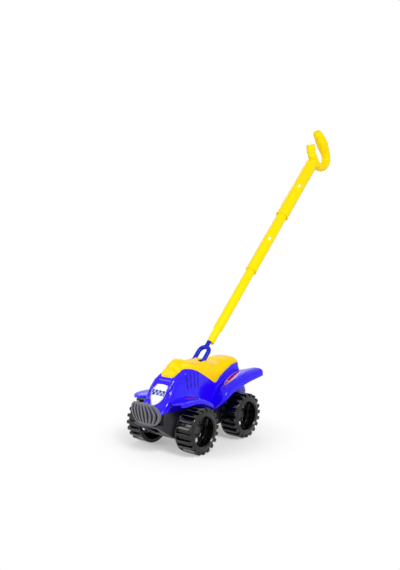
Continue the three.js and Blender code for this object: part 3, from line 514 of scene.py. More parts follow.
def steelMaterial(w):
    # Drawn steel wire: fine scratches along its length change the gloss.
    material, tree, shader, place = newMaterial("drawnSteel")
    streaks = addNode(tree, "ShaderNodeMapping", Vector=place, Scale=w["streaks"])
    noise = addNode(tree, "ShaderNodeTexNoise", Vector=streaks, Scale=1, Detail=2)
    least, most = w["roughness"]
    gloss = addNode(tree, "ShaderNodeMapRange", in0=noise, in1=0, in2=1, in3=least, in4=most)
    feed(tree, shader, {"Roughness": gloss, "Base Color": hexLinear(w["colour"]), "Metallic": 1})
    return material


drawnSteel = steelMaterial(steelWire)
print("materials made")


cameraPlace = {
    "lens": 49.72,
    "sensor": 36,
    "azimuth": 39.13,
    "elevation": 6.65,
    "eye": (984.58, -1193.98, 492.35),
}


def makeCamera(c):
    # It looks along the azimuth and elevation from the eye's place, with the lens unshifted.
    data = bpy.data.cameras.new("camera")
    data.lens = c["lens"]
    data.sensor_width = c["sensor"]
    eye = newObject("camera", data)
    a, e = math.radians(c["azimuth"]), math.radians(c["elevation"])
    back = Vector((math.sin(a) * math.cos(e), -math.cos(a) * math.cos(e), math.sin(e)))
    eye.rotation_mode = "QUATERNION"
    eye.rotation_quaternion = (-back).to_track_quat("-Z", "Y")
    eye.location = (Vector(c["eye"]) + Vector((0, shiftY, 0))) * mm
    bpy.context.scene.camera = eye


makeCamera(cameraPlace)


body = {
    "wall": 2.2,
    # rows along the body: from, to and the step between rows; finer over the hood, vents and tail
    "rows": (
        (-134.2, -127, 1), (-127, -84, 1), (-84, -65, 2.2), (-65, -24, 0.7),
        (-24, 103, 2.6), (103, 117, 0.9), (117, 134.2, 1.8),
    ),
    # each corner of a section: reach of its arc, points on the straight before it and on the arc
    "corners": ((2.4, 30, 7), (34, 8, 7), (14, 12, 6)),
    "cornerShare": 0.45,  # most that an arc takes of a side
    "sillPoints": 5,
    # y; height and half width of the sill, the flank's foot, the shoulder and the deck's edge
    "stations": [
        (-135, 82.5, 31.2, 84.5, 30, 87.5, 26, 88, 20.5),
        (-127, 84.6, 32.3, 90, 30.4, 94, 26, 94, 17.5),
        (-119, 85.4, 32.8, 93.5, 31, 99.5, 26.5, 100, 17.6),
        (-105.9, 83.2, 33.3, 101.5, 32, 116.5, 28.5, 120, 20.7),
        (-96.9, 82, 33.5, 104.5, 32.4, 124.5, 29.2, 130, 21.5),
        (-86.6, 81, 33.6, 105.8, 32.7, 132.5, 29.7, 140.3, 22.1),
        (-80, 80, 33.7, 106, 32.9, 137.5, 29.8, 144.8, 20.6),
        (-70, 79, 33.8, 106, 33, 140.8, 30.2, 150, 18),
        (-60, 77, 33.9, 104.5, 33.1, 143.5, 30.8, 154.5, 17.2),
        (-53, 75, 34, 102, 33.2, 145, 31, 155.8, 20.5),
        (-46, 72.5, 34, 100, 33.2, 143, 31, 155.3, 25.5),
        (-39.5, 70, 34, 97, 33.3, 131, 31.3, 153.3, 28.9),
        (-31.7, 67, 34, 92, 33.4, 125, 31.5, 150.2, 29.3),
        (-10, 61, 34, 72, 33.7, 106, 31.8, 138.3, 29.3),
        (9, 60.2, 34, 66, 33.8, 97, 31.9, 126.7, 29.3),
        (28.4, 60.3, 34, 95, 33.4, 106, 31.5, 115.9, 29.3),
        (44.8, 64, 34, 110, 32.6, 119, 31.2, 126.3, 29.2),
        (68.3, 71, 33.9, 120, 31.6, 129, 30.4, 137, 28.8),
        (89.7, 73, 33.6, 125, 30.8, 135, 29.3, 143.2, 27.5),
        (104.5, 73, 32.9, 126, 30.2, 135.5, 27.8, 143.6, 25.2),
        (109.5, 73, 32.5, 125, 30, 132, 27.4, 141.3, 24.8),
        (112.5, 73, 32.2, 112, 29.6, 120, 27.6, 127.5, 25),
        (124, 73, 30.6, 90, 29.4, 98, 27.8, 106.4, 25.8),
        (133.2, 73, 28.6, 78, 28.4, 82, 27.8, 87.2, 26.2),
        (135, 73, 27.9, 75, 27.8, 77, 27.4, 80, 26.2),
    ],
    # both ends: how far the round edge runs out and draws in, its rows in degrees, then the rows on
    # the flat end
    "endRound": 0.8,
    "endDraw": 0.035,
    "endTurns": (30, 60, 90),
    "endRows": (0.75, 0.5, 0.25, 0),
    # the hood: a sunk panel between two ridges on each side
    "panelDepth": 1.3,
    # y and share of the deck's half width
    "panelHalf": [(-119, 0.46), (-112, 0.62), (-105, 0.78), (-96, 0.8), (-90, 0.7)],
    "panelEnds": (-118.5, -90.5),
    "panelFade": (0.6, 0.7),  # half the length of the step at each end
    "panelSide": (-0.9, 0.3),  # from where to where the step at its side runs
    "ridgeAt": (-0.4, 5.4),  # along the section, outwards from the deck's edge
    "ridgeEnds": (-121, -85.5),
    "ridgeFade": 3,
    "ridgeHeight": 1.2,
    "ridgeWidth": 0.85,
    # painted shade between the ridges: its width, and how dark it gets, where the vents are 1
    "valleyWidth": 1.9,
    "valleyPaintedShade": 0.75,  # how dark the blue gets between the ridges, where the vents are 1
    # the vents: grooves in each flank
    "vents": (-61, -50, -39, -28),
    "ventDepth": 1.7,
    "ventSide": (0.8, 2),  # from where to where its side runs, from its middle
    "ventEnds": (118, 147.5),
    "ventFade": 1,
    "ventBelow": 1.5,  # from the deck's edge
}

fender = {
    "half": 1.2,  # of its wall
    "root": 31,
    "fullHalf": 67.5,
    "fillet": [(-120, 7), (40, 6), (80, 4), (105, 1), (120, 0.8)],  # y, rise up the flank
    "filletEnd": 0.26,  # share of the blade's width
    "filletSunk": (0.7, 0.5),  # how far its top and its corner lie inside the flank
    "filletFade": (1.2, 0.15),  # its rise follows the fullness times this, at least this
    "bunch": 1.25,  # power that draws the columns towards the lip
    "columns": (8, 28),
    "rows": 64,
    "lift": [
        (0, 0), (0.15, 0.13), (0.3, 0.3), (0.5, 0.56), (0.62, 0.7), (0.78, 0.9), (0.88, 1),
        (0.94, 0.99), (0.975, 0.86), (0.993, 0.58), (1, 0.12),
    ],
    # place, half width and height of the lip, place and height of the root, bulge between them
    "front": {
        "crown": 1.2, "lip": 6.5,
        "stations": [
            (-111, 61, 96.5, -107.5, 101.5, -9), (-106.5, 65, 97, -104, 103.5, -7),
            (-99, 67.3, 97.4, -98, 105, -4), (-88, 67.5, 97.6, -90, 106, -1),
            (-74, 67.5, 97, -78, 106, 0), (-57.7, 67.5, 94.4, -62, 104, 0),
            (-44, 67.3, 89.8, -48, 100, 0), (-31, 66.8, 83.5, -33, 93, 0),
            (-17, 63.5, 76.2, -18, 82.5, 0), (-6, 54.5, 69.5, -8, 73, 0),
            (1, 40.5, 62.5, 0, 65, 0),
        ],
    },
    "rear": {
        "crown": 4.5, "lip": 11,
        "stations": [
            (9.5, 38, 63, 8.5, 66.5, 0), (15.5, 52, 71.5, 14, 78, 0),
            (19.5, 61, 79.5, 20, 88, 0), (24, 66, 87, 26, 97, 0),
            (31, 67.5, 92, 34, 105, 0), (44.2, 67.5, 97.4, 44, 110.5, 0),
            (61, 67.5, 102.3, 58, 117, 0), (78.2, 67.5, 105.2, 74, 122, 0),
            (95.6, 67.5, 108.2, 89, 125, 0), (113.3, 67.5, 110.1, 101, 126, 1),
            (132, 67.5, 111.8, 109, 125.3, 3.5), (142.4, 67.3, 113, 113, 124.3, 6),
        ],
    },
}


def lineBetween(a, c, count):
    # Points a + (c - a) s for even shares s from 0, without the last.
    s = np.linspace(0, 1, count, endpoint=False)[:, None]
    return a + (c - a) * s


def arcBetween(a, corner, c, count):
    # Quadratic arc (1 - s)^2 a + 2 s (1 - s) corner + s^2 c, without its last point.
    s = np.linspace(0, 1, count, endpoint=False)[:, None]
    return (1 - s) ** 2 * a + 2 * s * (1 - s) * corner + s * s * c


def sectionAt(b, y):
    # The corners of the sections at the places y: centre, deck's edge, shoulder, foot and sill.
    table = np.array(b["stations"])
    sillZ, sillX, footZ, footX, shoulderZ, shoulderX, deckZ, deckX = (
        smoothThrough(y, table[:, 0], column) for column in table[:, 1:].T
    )
    sizes = (
        (0 * deckX, deckZ), (deckX, deckZ), (shoulderX, shoulderZ), (footX, footZ), (sillX, sillZ),
    )
    return [np.stack([x, y, z], -1)[:, None] for x, z in sizes]


def deckAt(b, y):
    # The deck's height and half width at the places y.
    deck = sectionAt(b, np.asarray(y, float))[1][:, 0]
    return deck[:, 2], deck[:, 0]


def flankHalf(b, y, z):
    # Half width of the flank at the heights z of the sections at y: straight between corners.
    corners = np.concatenate(sectionAt(b, y)[1:], 1)
    return np.array([np.interp(h, c[::-1, 2], c[::-1, 0]) for h, c in zip(z, corners)])


def hullGrid(b):
    # Sections along y, each from the centre line over the deck's edge, shoulder and foot to the
    # sill. Each corner gives way to a quadratic arc that takes at most cornerShare of its sides.
    stretches = []
    for low, high, step in b["rows"]:
        stretches.append(np.linspace(low, high, int(round((high - low) / step)), endpoint=False))
    y = np.concatenate(stretches + [[b["rows"][-1][1]]])
    corners = sectionAt(b, y)
    parts = []
    start = corners[0]
    for i, (reach, straight, turn) in enumerate(b["corners"]):
        here = corners[i + 1]
        ends = []
        for other in (corners[i], corners[i + 2]):
            gap = np.maximum(np.linalg.norm(other - here, axis=-1, keepdims=True), 1e-6)
            ends.append(here + (other - here) * np.minimum(b["cornerShare"], reach / gap))
        parts.append(lineBetween(start, ends[0], straight))
        parts.append(arcBetween(ends[0], here, ends[1], turn))
        start = ends[1]
    parts.append(lineBetween(start, corners[-1], b["sillPoints"]))
    parts.append(corners[-1])
    return np.concatenate(parts, 1)


def gridNormals(grid):
    # Unit normals of a grid of points: the cross product of its two gradients.
    return unitVectors(np.cross(np.gradient(grid, axis=1), np.gradient(grid, axis=0)))


def hullSkin(b):
    # The sections, moved along their normals by a sum of humps and soft steps: up over the ridges,
    # down in the panel and the vents. The right half is mirrored, and the ends close.
    half = hullGrid(b)
    normal = gridNormals(half)
    if normal[:, :b["corners"][0][1], 2].mean() < 0:  # the deck's point up
        normal = -normal
    y = half[:, :1, 1]
    x, z = half[..., 0], half[..., 2]
    deckX = deckAt(b, y[:, 0])[1][:, None]
    # distance along each section outwards from the deck's edge
    step = np.linalg.norm(np.diff(half, axis=1), axis=-1)
    walked = np.concatenate([np.zeros_like(y), np.cumsum(step, 1)], 1)
    edge = b["corners"][0][1] + b["corners"][0][2] // 2
    past = walked - walked[:, edge:edge + 1]
    # ridges along the hood's edges
    (low, high), fade = b["ridgeEnds"], b["ridgeFade"]
    along = plateau(y, low, low + fade, high - fade, high)
    lift = sum(hump(past, at, b["ridgeWidth"]) for at in b["ridgeAt"]) * b["ridgeHeight"] * along
    # painted shade in the groove between the ridges
    valleyShadeMask = hump(past, sum(b["ridgeAt"]) / 2, b["valleyWidth"]) * along
    # sunk panel between them
    (low, high), (front, rear) = b["panelEnds"], b["panelFade"]
    panelY, panelShare = np.array(b["panelHalf"]).T
    panelHalf = smoothThrough(y, panelY, panelShare) * deckX
    along = plateau(y, low - front, low + front, high - rear, high + rear)
    inner, outer = b["panelSide"]
    floor = 1 - softStep(x, panelHalf + inner, panelHalf + outer)
    lift = lift - b["panelDepth"] * along * floor * (past < 0)
    # vents
    (low, high), fade = b["ventEnds"], b["ventFade"]
    window = plateau(z, low - fade, low + fade, high - fade, high + fade) * (past > b["ventBelow"])
    sunk = sum(1 - softStep(np.abs(y - at), *b["ventSide"]) for at in b["vents"]) * window
    lift = lift - b["ventDepth"] * sunk
    # the painted shade between the ridges joins the vents' in sunk
    sunk = sunk + b["valleyPaintedShade"] * valleyShadeMask
    half = half + normal * lift[..., None]
    half[:, 0, 0] = 0.0
    # both ends close: a rounded edge, then rows that shrink the end's section to a pole
    sections = []
    for end, sign in ((half[0], -1), (half[-1], 1)):
        pole = end[0] * (0, 1, 0) + end[-1] * (0, 0, 1)
        rows = []
        for turn in np.radians(b["endTurns"]):
            drawn = pole + (end - pole) * (1 - b["endDraw"] * (1 - math.cos(turn)))
            rows.append(drawn + (0, sign * b["endRound"] * math.sin(turn), 0))
        last = rows[-1]
        pole = last[0] * (0, 1, 0) + last[-1] * (0, 0, 1)
        rows += [pole + (last - pole) * k for k in b["endRows"]]
        sections.append(np.array(rows))
    half = np.concatenate([sections[0][::-1], half, sections[1]])
    whole = np.concatenate([half[:, ::-1] * (-1, 1, 1), half[:, 1:]], 1)
    sunk = np.pad(sunk, ((len(sections[0]), len(sections[1])), (0, 0)))
    sunk = np.concatenate([sunk[:, ::-1], sunk[:, 1:]], 1)
    piece = meshFrom("hullSkin", whole, gridFaces(*whole.shape[:2]))
    # sunk goes on as a point attribute, which the body's material reads as painted shade
    shade = piece.data.attributes.new("sunk", "FLOAT", "POINT")
    shade.data.foreach_set("value", sunk.ravel())
    return thicken(mergeDoubles(piece, 1e-6), b["wall"])


def roundedSheet(name, outer, half, lipSteps=6, endSteps=4):
    # A sheet of 2 x half with a round lip and round ends. Its middle lies half under the outer
    # surface; each row runs out over the top, round the lip and back underneath, and past each end
    # the thickness falls as the cosine of an angle while the row moves on by its sine.
    normal = gridNormals(outer)
    if normal[..., 2].mean() < 0:  # a fender's point up
        normal = -normal
    middle = outer - half * normal
    turns = np.radians(np.linspace(0, 90, endSteps + 1)[1:])[:, None, None]
    ends = []
    for edge, inner in ((middle[0], middle[1]), (middle[-1], middle[-2])):
        ends.append(edge + unitVectors(edge - inner) * half * np.sin(turns))
    thin = half * np.cos(turns)
    thick = np.concatenate([thin[::-1], np.full((len(middle), 1, 1), half), thin])
    rows = np.concatenate([ends[0][::-1], middle, ends[1]])
    normal = np.pad(normal, ((endSteps, endSteps), (0, 0), (0, 0)), mode="edge")
    out = unitVectors(rows[:, -1] - rows[:, -2])
    angle = np.radians(np.linspace(90, -90, lipSteps + 2)[1:-1])[None, :, None]
    lip = rows[:, -1:] + thick * (np.cos(angle) * out[:, None] + np.sin(angle) * normal[:, -1:])
    ring = np.concatenate([rows + thick * normal, lip, (rows - thick * normal)[:, ::-1]], 1)
    return gridPiece(name, ring, closedRows=False, distance=1e-6)


def fenderBlade(b, f, end, side, name):
    # Rows follow the table. Across, a point goes from the root to the lip, raised by
    # fullness (crown sin(pi s) + lip lift(s)) square to the row's run, and a quadratic fillet takes
    # the place of the inner part.
    stations = np.array(f[end]["stations"])
    index = np.arange(len(stations))
    t = np.linspace(0, len(stations) - 1, f["rows"])
    lipY, lipX, lipZ, rootY, rootZ, bulge = (smoothThrough(t, index, c) for c in stations.T)
    lip = np.stack([lipX, lipY, lipZ], -1)
    root = np.stack([np.full_like(lipX, f["root"]), rootY, rootZ], -1)
    run = np.gradient(lip + root, axis=0)
    out = unitVectors(np.stack([0 * lipX, -run[:, 2], run[:, 1]], -1))
    fullness = (lipX - f["root"]) / (f["fullHalf"] - f["root"])
    s = np.linspace(f["filletEnd"], 1, f["columns"][1])
    s = 1 - (1 - s) ** f["bunch"] * (1 - f["filletEnd"]) ** (1 - f["bunch"])
    share, rise = np.array(f["lift"]).T
    arch = np.sin(math.pi * s)
    height = f[end]["crown"] * arch + f[end]["lip"] * smoothThrough(s, share, rise)
    blade = root[:, None] + (lip - root)[:, None] * s[:, None]
    blade = blade + out[:, None] * (fullness[:, None] * height)[..., None]
    blade[..., 1] += bulge[:, None] * arch
    filletY, filletUp = np.array(f["fillet"]).T
    slope, least = f["filletFade"]
    up = smoothThrough(rootY, filletY, filletUp) * np.clip(fullness * slope, least, 1)
    top, corner = root + np.stack([0 * up, 0 * up, up], -1), root.copy()
    for points, sunk in zip((top, corner), f["filletSunk"]):
        points[:, 0] = flankHalf(b, points[:, 1], points[:, 2]) - sunk
    fillet = arcBetween(top[:, None], corner[:, None], blade[:, :1], f["columns"][0])
    grid = np.concatenate([fillet, blade], 1)
    return roundedSheet(name, grid * (side, 1, 1), f["half"])


tower = {
    "half": 6,
    "radius": 6.2,
    "foot": 128,
    "bore": 2.3,
    "round": 0.5,
    "roundAngle": 40,  # edges that turn by more than this are rounded
    "headSteps": 25,
    "boreSteps": 32,
}


def towerBlock(t):
    # The post that the pin passes through: a half circle on straight sides, carried across, less
    # the pin's bore.
    radius, half = t["radius"], t["half"]
    turn = np.linspace(0, math.pi, t["headSteps"])
    head = np.column_stack([pivot[1] + radius * np.cos(turn), pivot[2] + radius * np.sin(turn)])
    feet = [[(pivot[1] + side * radius, t["foot"])] for side in (1, -1)]
    outline = np.concatenate([feet[0], head, feet[1]])
    block = roundEdges(extruded("towerBlock", outline, -half, half), t["round"], t["roundAngle"])
    ring = turnedPoints([(t["bore"], -half - 1), (t["bore"], half + 1)], t["boreSteps"])
    hole = np.stack([ring[..., 1], ring[..., 0] + pivot[1], ring[..., 2] + pivot[2]], -1)
    return cutAway(block, stackedPiece("pinBore", hole))


bodyPieces = [hullSkin(body)]
for end in ("front", "rear"):
    for side, label in ((1, "Left"), (-1, "Right")):
        bodyPieces.append(fenderBlade(body, fender, end, side, end + label + "Fender"))
bodyPieces.append(towerBlock(tower))
bodyObject = joinPieces("bodyMoulding", bodyPieces)
dress(bodyObject, decoratedBlue, "quad", "body", "body_shell", crease=55)
print("body made:", len(bodyObject.data.polygons), "faces")


cover = {
    "wall": 2,
    "stand": 0.3,  # over the deck
    "proud": 0.6,  # past the deck's edge
    "skirt": 1.5,
    "rows": 210,
    "rowPlaces": ([0, 0.36, 0.9, 1], [0, 9, 26, 29]),  # share of the rows, station reached there
    "columns": 89,
    "spread": 0.12,  # evens the steps round a section, where its power bunches them
    # each end: angle of the turn down and share of the fall, and how far the turn runs out
    "endFall": ((30, 0.08), (60, 0.25), (90, 0.5), (90, 1)),
    "endRun": 1.2,
    # slots for the fork's legs: half their gap, half a slot's width, length that the legs clear,
    # and heights under and over the cover
    "slotAt": 12,
    "slotReach": 5.4,
    "slotLength": 94,
    "slotHeights": (100, 300),
    # place, crown height, squareness (under 1 fuller than an ellipse), share of the deck's width
    "stations": [
        (-84.2, 147.6, 0.8, 0.58), (-83.2, 151.6, 0.8, 0.68), (-80.6, 155.4, 0.85, 0.78),
        (-77, 156.8, 0.9, 0.85), (-73.6, 156.8, 1.05, 0.9), (-71.4, 160, 1.25, 0.93),
        (-69.4, 166.2, 1.3, 0.97), (-65.6, 169.6, 1.3, 1), (-61.6, 170.9, 1.2, 1),
        (-57, 172, 1.15, 1), (-52.1, 172, 1.05, 1), (-47, 171, 1, 1),
        (-41.6, 169, 0.92, 1), (-35.9, 166.7, 0.86, 1), (-30, 164.3, 0.8, 1),
        (-24, 163, 0.75, 1), (-3, 162.4, 0.72, 1), (8.9, 163.4, 0.72, 1),
        (15.9, 161.9, 0.72, 1), (21.1, 159.5, 0.74, 1), (28.1, 154.9, 0.78, 1),
        (35.1, 150.9, 0.8, 1), (45.1, 148.6, 0.8, 1), (55.9, 149.9, 0.78, 1),
        (65.9, 153.3, 0.75, 1), (75.1, 155.5, 0.72, 1), (99.1, 154.6, 0.72, 1),
        (106.1, 152.3, 0.74, 1), (109.4, 148.5, 0.74, 1), (110.4, 145.2, 0.78, 1),
    ],
}


def coverShell(b, c):
    # Half superellipse sections x = half cos^n, z = foot + (crown - foot) sin^n that stand on the
    # body's deck, with a skirt that laps down beside it. Both ends fall to the deck.
    table = np.array(c["stations"])
    t = np.interp(np.linspace(0, 1, c["rows"]), *c["rowPlaces"])
    index = np.arange(len(table))
    y, crown, square, share = (smoothThrough(t, index, column) for column in table.T)
    deckZ, deckX = deckAt(b, y)
    foot = deckZ + c["stand"]
    half = share * deckX + c["proud"]
    angle = np.linspace(0, math.pi, c["columns"])
    angle = angle + c["spread"] * np.sin(4 * angle)
    across = np.sign(np.cos(angle)) * np.abs(np.cos(angle)) ** square[:, None]
    up = np.abs(np.sin(angle)) ** square[:, None]
    x, z = half[:, None] * across, foot[:, None] + (crown - foot)[:, None] * up
    grid = np.stack([x, np.repeat(y[:, None], len(angle), 1), z], -1)
    skirt = grid[:, [0, -1]] - (0, 0, c["skirt"])
    grid = np.concatenate([skirt[:, :1], grid, skirt[:, 1:]], 1)
    ends = []
    for row, sign in ((grid[0], -1), (grid[-1], 1)):
        falls = []
        for turn, share in c["endFall"]:
            turn = math.radians(turn)
            fall = row.copy()
            fall[:, 2] = row[0, 2] + (row[:, 2] - row[0, 2]) * (1 - share * (1 - math.cos(turn)))
            fall[:, 1] += sign * c["endRun"] * math.sin(turn)
            falls.append(fall)
        ends.append(np.array(falls))
    grid = np.concatenate([ends[0][::-1], grid, ends[1]])
    piece = meshFrom("coverShell", grid, gridFaces(*grid.shape[:2]))
    return thicken(mergeDoubles(piece, 1e-6), c["wall"])


def cutSlots(piece, c):
    # Two slots that the fork's legs swing in, from rest to upright.
    reach, length = c["slotReach"], c["slotLength"]
    low, high = c["slotHeights"]
    cosine, sine = math.cos(poleLean), math.sin(poleLean)
    outline = np.array(
        [
            (pivot[1] - reach, low),
            (pivot[1] + reach * sine, pivot[2] - reach * cosine),
            (pivot[1] + length * cosine + reach * sine, pivot[2] + length * sine - reach * cosine),
            (pivot[1] - reach, high),
        ]
    )
    for side in (c["slotAt"], -c["slotAt"]):
        piece = cutAway(piece, extruded("slotCutter", outline, side - reach, side + reach))
    return piece


coverObject = cutSlots(coverShell(body, cover), cover)
dress(coverObject, seatPlastic, "quad", "seat_cover", "seat_cover", crease=45)
print("seat cover made:", len(coverObject.data.polygons), "faces")


wheel = {
    "inner": 45,  # from the middle of the toy to the wheel's inner face
    "radius": 45,
    "segments": 120,
    "roundSteps": 5,  # points on each rounded corner of an outline
    # outline of the rim, dish and hub, square to the axle: radius, along, rounding
    "outline": [
        (45, 0, 0.9), (45, 3.5, 1.2), (40, 3.7, 0.8), (40, 33.4, 1.2), (38.2, 35, 1),
        (36.2, 36.2, 1.4), (33.6, 36.4, 0.8), (32.6, 37, 0.6), (30.6, 37, 0.6), (29.6, 35.8, 0.7),
        (28.4, 34.8, 0.8), (27, 17, 1.6), (26, 17, 0), (26, 14.6, 0), (29.4, 14.6, 1.2),
        (30.9, 34, 1.2), (36.4, 34, 1.2), (37.6, 32, 1), (37.6, 0, 0.8),
    ],
    "hub": [
        (14.9, 17, 0), (10.9, 17, 0.8), (10.5, 15, 0.6), (2.8, 15, 0.3), (2.8, 0, 0),
        (12.8, 0, 0.8), (12.8, 14.6, 0.8), (14.9, 14.6, 0),
    ],
    "windows": 8,
    "windowEnds": (14.8, 26.1),
    "windowWidths": (5.8, 10),
    "windowRound": (1.6, 0.9),  # how much an opening narrows towards its two ends, and over what
    "dishFloor": (14.6, 17),
    "spokeSteps": 9,  # points along and across a spoke
    "spokeLap": (0.4, 0.6),  # how far a spoke runs under the hub and the rim
    "spokeRound": (0.7, 0.72),  # at its edges: how deep, and the share of it that stays flat
    "lugs": 20,
    "lugFoot": 8.6,
    "lugTop": 6,
    "lugRoot": 38.4,
    "lugSunk": 0.02,  # its top under the wheel's radius
    "lugRound": 1.1,
    # along a lug: place, how far it is lowered and how far narrowed
    "lugRun": [(2, 0, 0), (34.2, 0, 0), (35, 0.25, 0.2), (35.4, 0.8, 0.5), (35.5, 1.5, 1)],
    "lugLower": (39, 45),  # the radii between which the lowering grows
}


def wheelMesh(w, name, side, y):
    # The rim and the hub are profiles carried round the axle. The spokes between the windows and
    # the lugs are small grids, repeated round it.
    def place(points):
        # across, along the axle and up, to the toy's frame
        points = np.asarray(points, float)
        x, z = side * (w["inner"] + points[..., 1]), points[..., 2] + w["radius"]
        return np.stack([x, points[..., 0] + y, z], -1)

    pieces = []
    for part, outline in (("rim", w["outline"]), ("hub", w["hub"])):
        ring = turnedPoints(roundedProfile(outline, w["roundSteps"]), w["segments"])
        pieces.append(gridPiece(name + part, place(ring)))
    # spokes: the dish floor between two windows
    pitch = 2 * math.pi / w["windows"]
    near, far = w["windowEnds"]
    nearLap, farLap = w["spokeLap"]
    r = np.linspace(near - nearLap, far + farLap, w["spokeSteps"])
    narrow, spread = w["windowRound"]
    width = np.interp(r, [near, far], w["windowWidths"])
    width = width - narrow * (hump(r, near, spread) + hump(r, far, spread))
    reach = 0.5 * pitch - 0.5 * width / r
    across = np.linspace(-1, 1, w["spokeSteps"])
    depth, flat = w["spokeRound"]
    edge = depth * np.clip((np.abs(across) - flat) / (1 - flat), 0, 1) ** 2
    low, high = w["dishFloor"]
    for k in range(w["windows"]):
        a = (k + 0.5) * pitch + across * reach[:, None]
        rows = []
        for level in (high - edge, low + edge):
            x, z = r[:, None] * np.sin(a), r[:, None] * np.cos(a)
            rows.append(np.stack([x, np.broadcast_to(level, a.shape), z], -1))
        both = np.concatenate([rows[0][:, ::-1], rows[1]], 1)
        pieces.append(gridPiece(name + "spoke", place(both), closedRows=False))
    # lugs: rounded blocks from the inner flange across the tread
    foot, top, crest = w["lugFoot"] / 2, w["lugTop"] / 2, w["radius"] - w["lugSunk"]
    profile = roundedProfile(
        [
            (-foot, w["lugRoot"], 0), (-top, crest, w["lugRound"]),
            (top, crest, w["lugRound"]), (foot, w["lugRoot"], 0),
        ],
        w["roundSteps"],
    )
    for k in range(w["lugs"]):
        turn = 2 * math.pi * k / w["lugs"] + math.pi
        c, s = math.cos(turn), math.sin(turn)
        sections = []
        for along, lower, narrow in w["lugRun"]:
            tangent = profile[:, 0] * (1 - narrow / w["lugTop"])
            radial = profile[:, 1] - lower * softStep(profile[:, 1], *w["lugLower"])
            x, z = radial * s + tangent * c, radial * c - tangent * s
            sections.append(np.stack([x, np.full(len(profile), along), z], -1))
        pieces.append(stackedPiece(name + "lug", place(sections)))
    return joinPieces(name, pieces)


for end, y in (("front", -wheelBase / 2), ("rear", wheelBase / 2)):
    for side, label in ((1, "left"), (-1, "right")):
        corner = f"{end}_{label}_wheel"
        made = wheelMesh(wheel, end + label.capitalize() + "Wheel", side, y)
        dress(made, blackPlastic, corner, "wheel", corner)
print("wheels made")


# mouldings whose CAD shape is right: node, name, material and width of their rounded edges
edged = (
    ("chassis", "chassisTub", greyPlastic, 0.8),
    ("front_grille", "frontGrille", grillePlastic, 0.7),
)
for node, name, material, width in edged:
    piece = newObject(name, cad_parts[node].data.copy())
    mergeDoubles(piece, 2e-6)
    roundEdges(piece, width)
    dress(piece, material, "quad", "chassis", node)
print("chassis made")


pole = {
    "offset": -4,  # of its axis from the line through the pin
    "segments": 96,
    # outline of the lower tube and its plug: radius, place along the pole, rounding
    "lower": [
        (0, 62, 0), (8, 62, 0.8), (8, 94.5, 0.5), (9.8, 97, 0.8), (9.8, 353.5, 0.5),
        (8.2, 353.5, 0.3), (8.2, 98, 0), (0, 98, 0),
    ],
    # radius, wall, start and end of the two tubes round it
    "middle": (11.8, 1.7, 257.5, 519),
    "upper": (13.9, 1.8, 423, 596),
    "collar": (0.5, 4, 4.7),  # how proud it is, and where its top and its slope end
    "draft": 0.06,  # how much a tube narrows towards its end
    "rounds": (0.3, 0.5, 0.6),  # of the bore's edges, the outer edges and the collar's foot
    "roundSteps": 4,
    # latch window: place from the tube's start, length, half width, and turn from the upper front
    "windowAt": 85.5,
    "windowLength": 11,
    "windowHalf": 2.6,
    "windowTurn": math.radians(45),
    "windowSteps": 9,  # points on each round end
    "cutterPast": (0.4, 2),  # how far the cutter runs past the wall, inwards and outwards
    # a near-white spot painted on the inner tube under it
    "paleSpot": 8,
    "paleSpotFade": 0.5,
    "paleSpotColour": "#FFFDF2",
}


def latchPaint(p, radius, start):
    # Paints a near-white spot on a tube of this radius, where the window of the tube round it
    # lies, which begins at start.
    along = start + p["windowAt"] + p["windowLength"] / 2
    turn = p["windowTurn"]
    middle = polePoint([radius * math.sin(turn), along, p["offset"] + radius * math.cos(turn)])
    centre = tuple((middle + (0, shiftY, 0)) * mm)

    def paint(tree, place, base):
        mask = spotMask(tree, place, centre, p["paleSpot"], p["paleSpotFade"])
        return paintOver(tree, base, hexLinear(p["paleSpotColour"]), mask)

    return paint


def poleMaterial(name, paint=None):
    # Yellow polypropylene, a little paler than the seat and almost without shine.
    return plasticMaterial(name, "#FFE200", "#FFDA00", 0.3, peel=0.2, shine=0.1, paint=paint)


lowerRadius = max(corner[0] for corner in pole["lower"])
polePlastic = poleMaterial("poleYellowPolypropylene")
lowerPolePlastic = poleMaterial(
    "lowerTubeYellowPolypropylene", latchPaint(pole, lowerRadius, pole["middle"][2])
)
middlePolePlastic = poleMaterial(
    "middleTubeYellowPolypropylene", latchPaint(pole, pole["middle"][0], pole["upper"][2])
)


def tubeMesh(name, outline, segments, offset, steps):
    # An outline of (radius, along, rounding) carried round an axis at this offset.
    ring = turnedPoints(roundedProfile(outline, steps), segments) + (0, 0, offset)
    return gridPiece(name, polePoint(ring))


def outerTube(name, size, p):
    # A tube with a collar, less its latch window: a slot with round ends, cut between the side and
    # the upper front.
    radius, wall, start, end = size
    bore = radius - wall
    proud, top, slope = p["collar"]
    fine, plain, foot = p["rounds"]
    outline = [
        (bore, start, fine), (radius + proud, start, plain), (radius + proud, start + top, plain),
        (radius, start + slope, foot), (radius - p["draft"], end, plain), (bore, end, fine),
    ]
    tube = tubeMesh(name, outline, p["segments"], p["offset"], p["roundSteps"])
    length, half = p["windowLength"], p["windowHalf"]
    angle = np.linspace(0, math.pi, p["windowSteps"])
    lobe = np.column_stack([half * np.cos(angle), half * np.sin(angle)])
    oval = np.concatenate([lobe + (0, length / 2 - half), -lobe - (0, length / 2 - half)])
    across, along = oval[:, 0], oval[:, 1] + start + p["windowAt"] + length / 2
    c, s = math.cos(p["windowTurn"]), math.sin(p["windowTurn"])
    inwards, outwards = p["cutterPast"]
    rows = []
    for depth in (bore - inwards, radius + outwards):
        x, up = across * c + depth * s, -across * s + depth * c + p["offset"]
        rows.append(np.stack([x, along, up], -1))
    return cutAway(tube, stackedPiece("windowCutter", polePoint(rows)))


